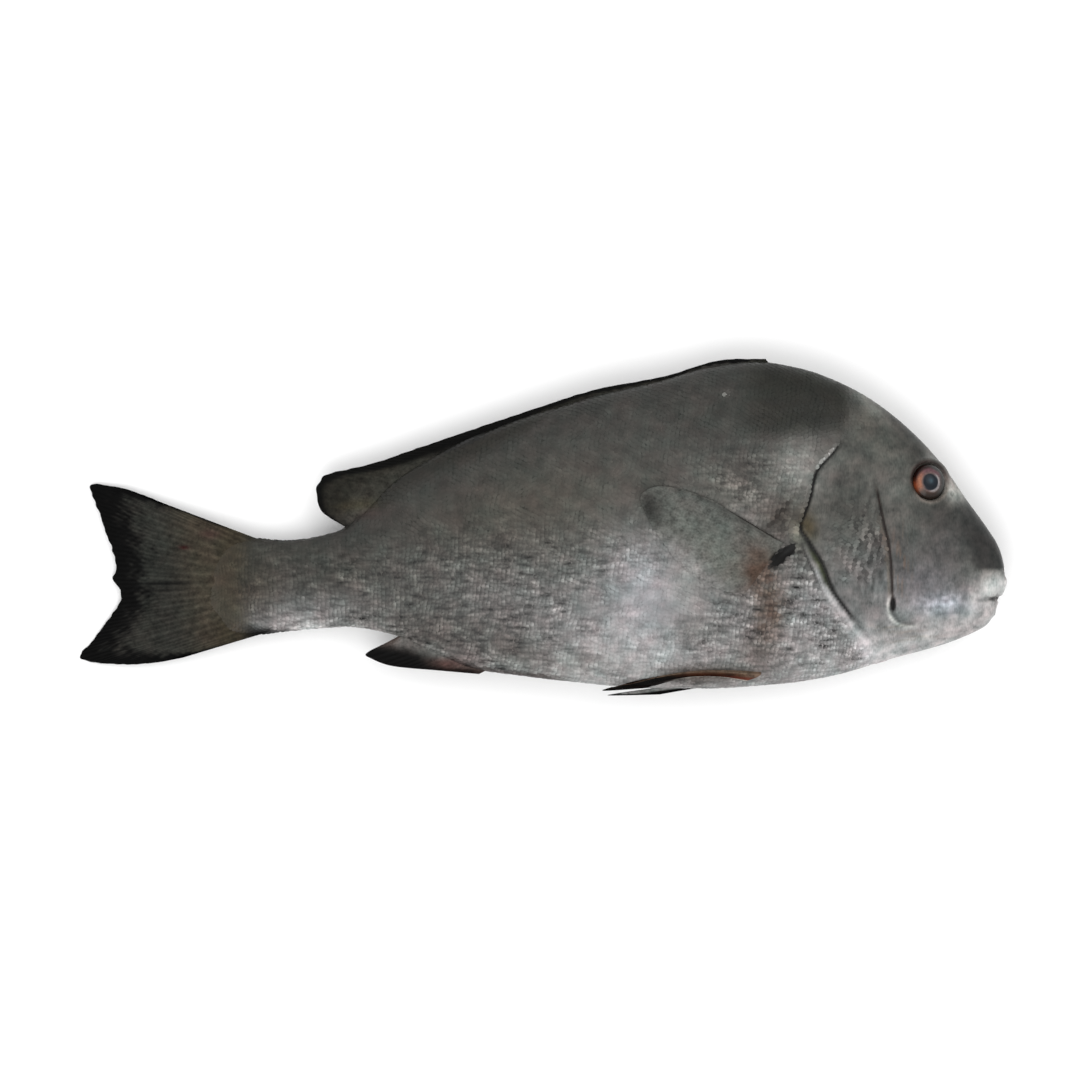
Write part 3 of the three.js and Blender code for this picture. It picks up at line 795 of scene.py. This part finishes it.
def eyeMaterial():
    material, w, shader = startMaterial("wet eye")
    tone = w.attribute("paint", out="Color")
    coords = w.coordinates()
    fleck = noise(w, coords, 1.2, 2.0)
    feed(w.dim(tone, 0.5 + fleck), shader, "Base Color")
    for name, value in eyeLook.items():
        shader.inputs[name].default_value = value
    return material


def makeBody(material):
    plan = body
    deselect()
    bpy.ops.mesh.primitive_uv_sphere_add(segments=plan["sides"], ring_count=plan["rings"], radius=1)
    piece = bpy.context.object
    ball = readPoints(piece)
    share = np.arccos(np.clip(ball[:, 2], -1, 1)) / math.pi
    around = np.arctan2(ball[:, 1], ball[:, 0])
    # rings close together over the head, wider apart behind it
    xAt = smoothLine([(0, plan["snout"] - 0.03), (0.012, 274.6), (0.03, 273.2), (0.06, 268.5), (0.10, 260),
                      (0.30, 205), (0.52, 145), (0.98, -199), (1, plan["end"])])
    x = xAt(share)
    angle = around + 0.15 * np.sin(2 * around)    # points spread evenly over the flanks
    points = skinPoints(x, angle)[0]
    pole = (share < 1e-6) | (share > 1 - 1e-6)
    points[pole, 1] = widestAt(x[pole])
    points[pole, 2] = middleAt(x[pole])
    points[share < 1e-6, 0] = plan["snout"]
    writePoints(piece, points * mm)
    addAttribute(piece, "paint", paintAt(points[:, 0], points[:, 1]))
    piece.data.uv_layers[0].name = "OFBake"
    faceOutwards(piece)
    bpy.ops.object.shade_smooth()
    finishPiece(piece, "skin", material, ["fish"])


scales = {
    "along": 2.4,          # millimetres from one column to the next
    "across": 2.75,
    "long": 4.2,
    "wide": 3.5,
    "lean": 0.16,          # columns lean forward towards the back
    "dome": 0.14,
    "sunk": 0.30,          # how deep the front end sits in the skin
    "proud": 0.30,         # how far the back end stands out of it
    "from": 222,
    "to": -196,
    "samples": 500,        # points round a section, to measure along it
}


def scaleShape():
    # one scale, modelled once: a shallow cone squeezed to a shield, its rear rim towards the tail
    deselect()
    bpy.ops.mesh.primitive_cone_add(vertices=8, radius1=1, radius2=0, depth=1, location=(0, 0, 0.5))
    cone = bpy.context.object
    bpy.ops.object.transform_apply(location=True, rotation=False, scale=False)
    shape = readPoints(cone)
    faces = [list(p.vertices) for p in cone.data.polygons]
    bpy.data.objects.remove(cone)
    return shape, faces


def boldAt(x, y):
    # how clearly the scales show: most on the lower flank, least along the back and on the head
    bold = 0.12 + 0.88 * smooth(16, -26, y) + 0.75 * spot(x, y, 124, 26, 30, 20)
    bold = bold - 0.7 * spot(x, y, 88, -36, 26, 24)
    bold -= 0.7 * spot(x, y, 52, -52, 36, 34) + 0.35 * smooth(-40, -100, x) * smooth(-40, -14, y)
    bold = bold * (1 + 0.35 * ripple(x, y, 22, 44)) * (1 - 0.45 * smooth(-58, -82, y) * smooth(-40, 0, x))
    bold = np.clip(bold, 0.08, 1) * (1 - 0.7 * smooth(0, 5, edgeDistance(gillAt, x, y)) * smooth(56, 48, y))
    return bold * (0.15 + 0.85 * smooth(-194, -174, x)) * (1 - 0.3 * smooth(-104, -134, x))


def rowsOfScales(side):
    plan = scales
    places = []
    x = plan["from"]
    column = 0
    while x > plan["to"] - 12:
        small = 1 - 0.3 * smooth(-150, -190, x) - 0.2 * smooth(150, 200, x)
        angles = np.linspace(0.02, math.pi - 0.02, plan["samples"])
        if side < 0:
            angles = 2 * math.pi - angles
        section = baseSkin(np.full(plan["samples"], x), angles)
        arc = np.concatenate([[0], np.cumsum(np.linalg.norm(np.diff(section, axis=0), axis=1))])
        middle = np.interp(0, -(section[:, 1] - widestAt(np.array(x))), arc)
        pitch = plan["across"] * (1 - 0.3 * smooth(-100, -190, x) - 0.15 * smooth(150, 200, x))
        row = np.arange(-90, 91) + (0.5 if column % 2 else 0)
        at = middle + row * pitch + rng.uniform(-0.3, 0.3, len(row))
        at = at[(at > 0.6) & (at < arc[-1] - 0.6)]
        lean = plan["lean"] * (middle - at) * smooth(-110, 0, x)
        warp = 0.8 * ripple(np.full(len(at), x), at, 19, 41)
        places.append(np.stack([x + lean + warp, np.interp(at, arc, angles), np.full(len(at), small)], 1))
        x -= plan["along"] * small
        column += 1
    places = np.vstack(places)
    px = places[:, 0] + rng.uniform(-0.3, 0.3, len(places))
    places[:, 0] = px
    points = baseSkin(px, places[:, 1])
    y = points[:, 1]
    d = edgeDistance(gillAt, px, y)
    f = edgeDistance(flapAt, px, y)
    c = edgeDistance(cheekAt, px, y)
    behind = np.where(y < -2, f < -2.4, d < -2.2)
    nape = (y > 50) & (px < 178 + (y - 50) * 1.1)
    keep = np.where(y > 50, nape, behind)
    # low scales on the middle of the gill cover
    keep |= (d > 2.4) & (c < -1.8) & (spot(px, y, 186, -8, 22, 26) > 0.4)
    keep &= (px > plan["to"]) & (px < plan["from"])
    keep &= spot(px, y, *head["axil"], 3.2, 9, -0.88) < 0.3
    keep &= ~((points[:, 2] < 0.9) & (side < 0))    # the pressed patch keeps its flat skin
    return places[keep]


def makeScales(name, side, material):
    plan = scales
    shape, faces = scaleShape()
    places = rowsOfScales(side)
    count = len(places)
    x, angle, small = places.T
    point, normal = skinPoints(x, angle)
    ahead = skinPoints(x + 0.8, angle)[0] - skinPoints(x - 0.8, angle)[0]
    ahead -= normal * np.sum(ahead * normal, 1, keepdims=True)
    ahead /= np.linalg.norm(ahead, axis=1, keepdims=True)
    across = np.cross(normal, ahead)
    turned = rng.normal(0, 0.07, count)[:, None]
    straight = ahead
    ahead = straight * np.cos(turned) + across * np.sin(turned)
    across = across * np.cos(turned) - straight * np.sin(turned)
    size = small * rng.uniform(0.93, 1.07, count)
    bold = boldAt(point[:, 0], point[:, 1])
    tip = shape[:, 2] > 0.5
    u = np.where(tip, -0.10 * plan["long"], shape[:, 0] * plan["long"] / 2)
    v = shape[:, 1] * plan["wide"] / 2
    share = np.where(tip, 0.5, (1 - shape[:, 0]) / 2)    # 0 at the front end, 1 at the tail end
    lift = -plan["sunk"] + (plan["sunk"] + plan["proud"]) * share + plan["dome"] * tip
    ease = (0.15 + 0.85 * bold)[:, None, None]
    points = (point[:, None, :] + ahead[:, None, :] * (u[None, :, None] * size[:, None, None])
              + across[:, None, :] * (v[None, :, None] * size[:, None, None])
              + normal[:, None, :] * lift[None, :, None] * ease)
    points = points.reshape(-1, 3)
    points[:, 2] = np.maximum(points[:, 2], 0.05)
    step = len(shape)
    allFaces = [[i * step + k for k in face] for i in range(count) for face in faces]
    mesh = bpy.data.meshes.new(name)
    mesh.from_pydata((points * mm).tolist(), [], allFaces)
    piece = bpy.data.objects.new(name, mesh)
    bpy.context.scene.collection.objects.link(piece)
    colours = paintAt(point[:, 0], point[:, 1])
    addAttribute(piece, "paint", np.repeat(colours, step, axis=0))
    addAttribute(piece, "tint", np.repeat(rng.uniform(0, 1, count), step))
    # the rim, darkened in the material: dark skin and painted shadow cast on the next scale
    rear = np.where(tip, 0.0, smooth(0.2, -0.9, shape[:, 0]))
    addAttribute(piece, "rim", np.tile(rear, count))
    addAttribute(piece, "bold", np.repeat(bold, step))
    # every scale has its own little field of the baking map
    layer = mesh.uv_layers.new(name="OFBake")
    cols = int(math.ceil(math.sqrt(count)))
    index = np.empty(len(mesh.loops), int)
    mesh.loops.foreach_get("vertex_index", index)
    cell = index // step
    within = index % step
    uv = np.stack([(cell % cols + 0.5 + 0.4 * shape[within, 0]) / cols,
                   (cell // cols + 0.5 + 0.4 * shape[within, 1]) / cols], 1)
    layer.data.foreach_set("uv", uv.ravel())
    faceOutwards(piece)
    bpy.ops.object.shade_smooth_by_angle(angle=math.radians(40))
    finishPiece(piece, name, material)


def makeFin(name, plan, heightAt, colourAt, material):
    deselect()
    columns = plan["rays"] * plan["fine"]
    bpy.ops.mesh.primitive_grid_add(x_subdivisions=columns, y_subdivisions=plan["steps"], size=2)
    piece = bpy.context.object
    flat = readPoints(piece)
    u = (flat[:, 0] + 1) / 2
    v = (flat[:, 1] + 1) / 2
    root = spline(plan["root"])(u)
    edge = spline(plan["edge"])(u)
    ragged = plan.get("ragged", 0) * ripple(u * 100, v * 0, 3.1, 21) * v ** 6
    place = root + (edge - root) * (v + ragged)[:, None]
    bow = plan.get("bow", 0) * np.sin(math.pi * np.clip(v, 0, 1))
    place[:, 1] += bow
    # a ray is one ridge at the root, and splits in two and in four on its way out
    turn = 2 * math.pi * plan["rays"] * u
    one = (0.5 + 0.5 * np.cos(turn)) ** 1.5
    two = (0.5 + 0.5 * np.cos(2 * turn)) ** 1.3
    four = 0.5 + 0.5 * np.cos(4 * turn)
    split = plan.get("split", (0.3, 0.65))
    ray = one + (two - one) * smooth(split[0], split[0] + 0.25, v)
    ray = ray + (four - ray) * smooth(split[1], split[1] + 0.25, v)
    z = heightAt(place[:, 0], place[:, 1], u, v)
    writePoints(piece, np.column_stack([place, z]) * mm)
    # the web is thinner than the rays, but not near the body, where the skin covers both
    ridge = plan.get("ridge", 0.5) * smooth(plan.get("bare", 0.1), plan.get("bare", 0.1) + 0.25, v)
    thick = plan["edgeThick"] + (plan["rootThick"] - plan["edgeThick"]) * (1 - np.clip(v, 0, 1)) ** 2
    thick = thick / plan["rootThick"] * (1 - ridge * (1 - ray))
    group = piece.vertex_groups.new(name="thick")
    for i, weight in enumerate(thick):
        group.add([i], float(weight), "REPLACE")
    addAttribute(piece, "paint", linear(colourAt(place[:, 0], place[:, 1], u, v)))
    addAttribute(piece, "ray", ray)
    addAttribute(piece, "bold", plan.get("bold", 1) * smooth(0.0, 0.3, v))
    shell = piece.modifiers.new("shell", "SOLIDIFY")
    shell.thickness = plan["rootThick"] * mm
    shell.offset = 0
    shell.vertex_group = "thick"
    shell.thickness_vertex_group = 0
    pick(piece)
    bpy.ops.object.modifier_apply(modifier="shell")
    piece.vertex_groups.clear()
    faceOutwards(piece)
    bpy.ops.object.shade_smooth_by_angle(angle=math.radians(60))
    finishPiece(piece, name, material)


tailFin = {
    "root": [(-162, -9), (-168, -20), (-170, -34), (-168, -49), (-160, -61)],
    "edge": [(-232, 17.5), (-247, 23.2), (-260, 25.6), (-268.5, 25.2), (-265, 13), (-259.5, -2),
             (-254.6, -16), (-253.4, -25), (-255.6, -29.6), (-252, -35), (-250.3, -40.5), (-252.5, -47),
             (-258.5, -55), (-267, -66.5), (-274.6, -75.5), (-272, -78.6), (-265, -80.4), (-248, -81.2),
             (-230, -80.2), (-213, -77)],
    "rays": 17, "fine": 24, "steps": 44,
    "rootThick": 5.5, "edgeThick": 0.7, "ragged": 0.006, "split": (0.3, 0.55), "bare": 0.4, "ridge": 0.5,
    "bold": 1.7,
}


def tailColour(x, y, u, v):
    tone = toneMix(bodyTone(x, y), (53, 53, 49), smooth(-198, -226, x + 0.15 * (y + 30)))
    back = v + 0.10 * np.abs(u - 0.5) + 0.05 * ripple(x, y, 9, 31) + 0.05 * ripple(x, y, 3.5, 32)
    tone = toneMix(tone, (18, 18, 17), smooth(0.72, 0.88, back))
    tone = toneMix(tone, (2, 2, 2), smooth(0.82, 0.93, back))
    rimLine = np.maximum(smooth(0.06, 0.0, u), smooth(0.95, 1.0, u)) * smooth(0.25, 0.5, v)
    rimLine = rimLine * smooth(-168, -180, x - 0.3 * (y + 10))
    tone = toneMix(tone, (10, 10, 9), 0.85 * rimLine)
    tone = toneMix(tone, (40, 12, 12), 0.9 * spot(x, y, -212.6, -11.5, 2.8, 1.2))
    tone = toneMix(tone, (92, 60, 58), 0.5 * spot(x, y, -197, -3.5, 6, 3))
    tone = toneMix(tone, (14, 14, 13), 0.75 * spot(x, y, -228, -33, 18, 1.3))
    return toneMix(tone, (14, 14, 13), 0.5 * spot(x, y, -226, -37, 12, 0.9))


def tailHeight(x, y, u, v):
    return np.maximum(middleAt(x) + 0.5 * np.sin(6 * u + 1) * v, 0.75)


backFin = {
    "root": [(137, 95), (100, 91), (70, 82), (31, 73), (-11, 60), (-54, 42), (-86, 21), (-102, 5),
             (-110, -2)],
    "edge": [(133, 100.3), (104, 99.2), (74, 90.2), (31, 81.8), (-11, 68.4), (-54, 54), (-97, 39.4),
             (-128, 31), (-134, 21), (-130, 9.5), (-117, 1)],
    "rays": 32, "fine": 12, "steps": 16,
    "rootThick": 9, "edgeThick": 0.9, "split": (0.5, 0.9), "ragged": 0.02, "ridge": 0.35, "bare": 0.4,
    "bold": 0.9,
}


def backFinColour(x, y, u, v):
    tone = toneMix(bodyTone(x, y) * 1.08, (48, 46, 40), 0.5 * smooth(0.6, 0.85, v) * smooth(60, 20, x))
    tone = toneMix(tone, (82, 82, 76), 0.7 * smooth(0.75, 0.35, v) * smooth(-40, -75, x))
    behind = smooth(0.84, 0.95, v) * smooth(-100, -125, x)
    nearBody = smooth(0.72, 0.4, v) * smooth(-40, -75, x)
    return toneMix(toneMix(backMargin(x, y, tone), tone, 0.6 * nearBody), (6, 6, 5), behind)


ventFin = {
    "root": [(-22, -79), (-50, -72), (-70, -64), (-82, -58)],
    "edge": [(-37, -86.6), (-60, -84.6), (-88, -82), (-101, -77.5), (-104, -74.4), (-93, -68.8),
             (-82, -65)],
    "rays": 10, "fine": 14, "steps": 16,
    "rootThick": 9, "edgeThick": 1.0, "split": (0.5, 0.9), "ridge": 0.35, "bare": 0.45, "bold": 0.6,
}


def ventFinColour(x, y, u, v):
    tone = toneMix(bodyTone(x, np.maximum(y, bellyAt(x) + 3)), (100, 88, 84), smooth(0.35, 0.7, v))
    lower = smooth(3.4, 0.8, y + 86.4 - 0.07 * (-37 - x)) * smooth(-30, -44, x)
    tone = toneMix(tone, (22, 14, 12), lower)
    return ventShade(x, y, tone)


sideFin = {
    "root": [(143, -9), (139, -13.5), (135, -18.8), (131, -24)],
    "edge": [(101, 16.2), (84, 22.4), (70, 24.6), (61.5, 22), (58.5, 17), (62.5, 6), (70, -6), (84, -24),
             (104, -36), (120, -39)],
    "rays": 16, "fine": 14, "steps": 34,
    "rootThick": 2.6, "edgeThick": 0.24, "split": (0.35, 0.7), "ridge": 0.3, "bold": 0.45,
}


def sideFinColour(x, y, u, v):
    tone = toneMix((102, 104, 100), (118, 121, 115), smooth(0.15, 0.7, u) * smooth(0.1, 0.5, v))
    tone = toneMix(tone, (80, 81, 78), 0.7 * smooth(0.22, 0.05, u) * smooth(0.1, 0.4, v))
    tone = toneMix(tone, (54, 54, 52), 0.85 * spot(x, y, 65, 11, 7, 12, 0.35))
    # painted shadow: a dark line along the side fin's upper edge
    topEdgeShadow = smooth(0.045, 0.0, u) * smooth(0.0, 0.2, v) * smooth(0.85, 0.5, v)
    tone = toneMix(tone, (26, 24, 22), 0.9 * topEdgeShadow)
    # the lower web is clear, and lies so close that it can't be told from the flank
    clear = np.maximum(smooth(0.36, 0.6, u) * smooth(0.45, 0.9, v), smooth(0.6, 0.95, u))
    clear = np.maximum(clear, 0.8 * smooth(0.86, 1.0, v) * smooth(0.3, 0.1, u))
    tone = toneMix(tone, bodyTone(x, y) * 1.04, clear)
    return stainAndAxilShade(x, y, tone)


bellyFin = {
    "rays": 5, "fine": 14, "steps": 44,
    "rootThick": 3.4, "edgeThick": 1.0, "split": (0.5, 0.9), "bold": 0.5,
}


def bellyFinPlan(side):
    plan = dict(bellyFin)
    if side > 0:
        plan["root"] = [(130, -85.6), (127, -87.4), (121, -89.4)]
        plan["edge"] = [(46, -94), (37, -95.6), (39, -96.4), (62, -94.8)]
        plan["bow"] = 4.6
    else:
        plan["root"] = [(128, -89), (124, -90.4), (118, -92)]
        plan["edge"] = [(62, -95.6), (44, -98.2), (41, -99.4), (70, -98.8)]
        plan["bow"] = 0.6
    return plan


def upperBellyFinColour(x, y, u, v):
    tone = toneMix((116, 98, 84), (62, 34, 20), smooth(0.02, 0.25, u) * smooth(0.0, 0.2, v))
    tone = toneMix(tone, (92, 30, 20), 0.6 * smooth(0.25, 0.6, u) * smooth(0.5, 0.1, v))
    tone = toneMix(tone, (10, 7, 6), smooth(0.40, 0.65, v) * smooth(0.05, 0.3, u))
    tone = toneMix(tone, (14, 8, 7), smooth(0.55, 0.75, u) * smooth(0.2, 0.4, v))
    return toneMix(tone, (172, 168, 160), smooth(0.8, 0.95, u) * smooth(0.9, 0.5, v))


def lowerBellyFinColour(x, y, u, v):
    tone = toneMix((140, 138, 134), (170, 172, 170), smooth(0.2, 0.6, v))
    return toneMix(tone, (8, 8, 8), smooth(0.55, 0.8, u) * smooth(0.1, 0.35, v) + smooth(0.85, 1.0, v))


def backFinHeight(x, y, u, v):
    return middleAt(x) + 0.6 * np.sin(9 * u) * v


def ventFinHeight(x, y, u, v):
    return middleAt(x) + 1.2 * v


def makeFins(material):
    makeFin("fin_tail", tailFin, tailHeight, tailColour, material)
    makeFin("fin_back", backFin, backFinHeight, backFinColour, material)
    makeFin("fin_vent", ventFin, ventFinHeight, ventFinColour, material)
    for side, name in ((1, "right"), (-1, "left")):
        def sideHeight(x, y, u, v, side=side):
            if side < 0:    # squeezed between the flank and the floor
                return np.maximum(skinHeight(x, y, side) - 0.5, 0.36)
            lift = 0.3 + smooth(0, 0.25, v) * (0.1 + 0.8 * smooth(0.7, 0.1, u)) - 0.12 * smooth(0.3, 0.8, u)
            return skinHeight(x, y, side) + lift

        plan = sideFin if side > 0 else {**sideFin, "rootThick": 0.6}
        makeFin("fin_side_" + name, plan, sideHeight, sideFinColour, material)

        def bellyHeight(x, y, u, v, side=side):
            # the right fin is folded on the flank, the left one hangs under the belly's edge
            free = middleAt(x) + side * 3 + 4 * (side > 0)
            return np.maximum(free, skinHeight(x, y, 1) + 0.9) if side > 0 else free

        colour = upperBellyFinColour if side > 0 else lowerBellyFinColour
        makeFin("fin_belly_" + name, bellyFinPlan(side), bellyHeight, colour, material)


eye = {
    "radius": 10.3,
    "pupil": 0.43,
    "lean": 0.55,         # how far it turns from straight up towards the skin's own direction
    "sunk": 3.4,
    "front": 5.2,         # half thicknesses
    "back": 4.5,
    "bulge": 0.7,         # the clear cover over the pupil
    "segments": 64,
    "rings": 40,
}


def makeEye(side, name, material):
    deselect()
    cx, cy = head["eye"]
    angle = angleOf(np.array(cx), np.array(cy), side)
    point = baseSkin(np.array(cx), angle)
    normal = skinPoints(np.array([cx]), np.array([float(angle)]))[1][0]
    axis = Vector((0, 0, side)).lerp(Vector(normal), eye["lean"]).normalized()
    bpy.ops.mesh.primitive_uv_sphere_add(segments=eye["segments"], ring_count=eye["rings"], radius=1)
    piece = bpy.context.object
    ball = readPoints(piece)
    flat = np.hypot(ball[:, 0], ball[:, 1])
    z = ball[:, 2]
    cover = eye["bulge"] * np.exp(-(flat / 0.5) ** 2)
    dome = np.where(z > 0, z * eye["front"] + cover, z * eye["back"])
    local = np.column_stack([ball[:, 0] * eye["radius"], ball[:, 1] * eye["radius"] * 1.08, dome])
    turn = np.array(Vector((0, 0, 1)).rotation_difference(axis).to_matrix())
    world = local @ turn.T + point - np.array(axis) * eye["sunk"]
    writePoints(piece, world * mm)
    # pupil, pale ring, red brown iris and dark rim, by the distance from the middle of the pupil, and a
    # painted highlight in the pupil's middle
    ex = ball[:, 0] - 0.04
    ey = ball[:, 1] + 0.03
    uneven = 1 + 0.05 * ripple(ex * 20, ey * 20, 11, 81)
    off = np.hypot(ex, ey) * uneven
    heading = np.arctan2(ey, ex)    # 0 towards the snout, a quarter turn towards the back
    tail = smooth(0.25, 0.95, -np.cos(heading + 0.15))
    up = smooth(0.2, 0.9, np.sin(heading))
    down = smooth(0.3, 0.95, -np.sin(heading + 0.25))
    front = smooth(-0.1, 0.6, np.cos(heading + 0.35))
    iris = toneMix((92, 84, 82), (176, 118, 92), tail)
    iris = toneMix(iris, (112, 78, 84), up * (1 - 0.4 * tail))
    iris = toneMix(iris, (62, 46, 38), down * (1 - tail))
    outer = toneMix((62, 62, 60), (150, 74, 44), tail)
    outer = toneMix(outer, (34, 12, 10), smooth(0.5, 0.95, np.sin(heading - 0.7)))
    outer = toneMix(outer, (44, 34, 28), down * (1 - tail))
    ringTone = toneMix((116, 94, 90), (180, 172, 172), front)
    tone = toneMix((15, 24, 34), ringTone, smooth(eye["pupil"] - 0.02, eye["pupil"] + 0.05, off))
    tone = toneMix(tone, iris, smooth(eye["pupil"] + 0.06, 0.6, off))
    tone = toneMix(tone, outer, smooth(0.64, 0.84, flat * uneven))
    tone = toneMix(tone, (30, 26, 24), smooth(0.88, 0.98, flat) * (1 - 0.6 * tail))
    # painted highlight: a pale blue glint in the middle of the pupil
    tone = toneMix(tone, (66, 96, 108), 0.7 * np.exp(-(np.hypot(ex, ey - 0.06) / 0.17) ** 2))
    addAttribute(piece, "paint", linear(tone))
    piece.data.uv_layers[0].name = "OFBake"
    faceOutwards(piece)
    bpy.ops.object.shade_smooth()
    finishPiece(piece, "eyeball_" + name, material, ["eye_" + name])


# floor, lights and camera
stage = {
    "floorSize": 6.0,
    "floorTone": 0.94,
    "key": {"place": (-0.25, -0.9, 1.9), "size": 1.5, "power": 15},
    "fill": {"place": (0.9, 0.9, 1.6), "size": 1.6, "power": 8},
    "sky": 1.05,
    "lens": 300,
    "across": 0.6407,         # metres seen from edge to edge at the fish's outline
    "aim": (-0.0008, -0.0071),
}


def makeStage():
    deselect()
    bpy.ops.mesh.primitive_plane_add(size=stage["floorSize"], location=(0, 0, 0))
    floor = bpy.context.object
    floor.name = "floor"
    material, w, shader = startMaterial("pale floor")
    tone = stage["floorTone"]
    shader.inputs["Base Color"].default_value = (tone, tone, tone, 1)
    shader.inputs["Roughness"].default_value = 0.8
    shader.inputs["Specular IOR Level"].default_value = 0.1
    floor.data.materials.append(material)
    for name in ("key", "fill"):
        plan = stage[name]
        light = bpy.data.lights.new(name, "AREA")
        light.shape = "DISK"
        light.size = plan["size"]
        light.energy = plan["power"]
        lamp = bpy.data.objects.new(name, light)
        bpy.context.scene.collection.objects.link(lamp)
        lamp.location = plan["place"]
        lamp.rotation_euler = (-Vector(plan["place"])).to_track_quat("-Z", "Y").to_euler()
    world = bpy.data.worlds.new("room")
    world.use_nodes = True
    sky = world.node_tree.nodes["Background"]
    sky.inputs["Color"].default_value = (1, 1, 1, 1)
    sky.inputs["Strength"].default_value = stage["sky"]
    bpy.context.scene.world = world
    bpy.context.scene.view_settings.view_transform = "Standard"
    camera = bpy.data.cameras.new("camera")
    camera.lens = stage["lens"]
    camera.sensor_width = 36
    distance = stage["across"] * stage["lens"] / camera.sensor_width
    camera.clip_end = 2 * distance
    stand = bpy.data.objects.new("camera", camera)
    bpy.context.scene.collection.objects.link(stand)
    stand.location = (stage["aim"][0], stage["aim"][1], bodyLevel * mm + distance)
    bpy.context.scene.camera = stand
    print("stage set, camera", round(distance, 2), "m up")


makeStage()
skinFinish = skinMaterial()
scaleFinish = scaleMaterial()
finFinish = finMaterial()
eyeFinish = eyeMaterial()
makeBody(skinFinish)
makeScales("scales_right", 1, scaleFinish)
makeScales("scales_left", -1, scaleFinish)
makeFins(finFinish)
makeEye(1, "right", eyeFinish)
makeEye(-1, "left", eyeFinish)
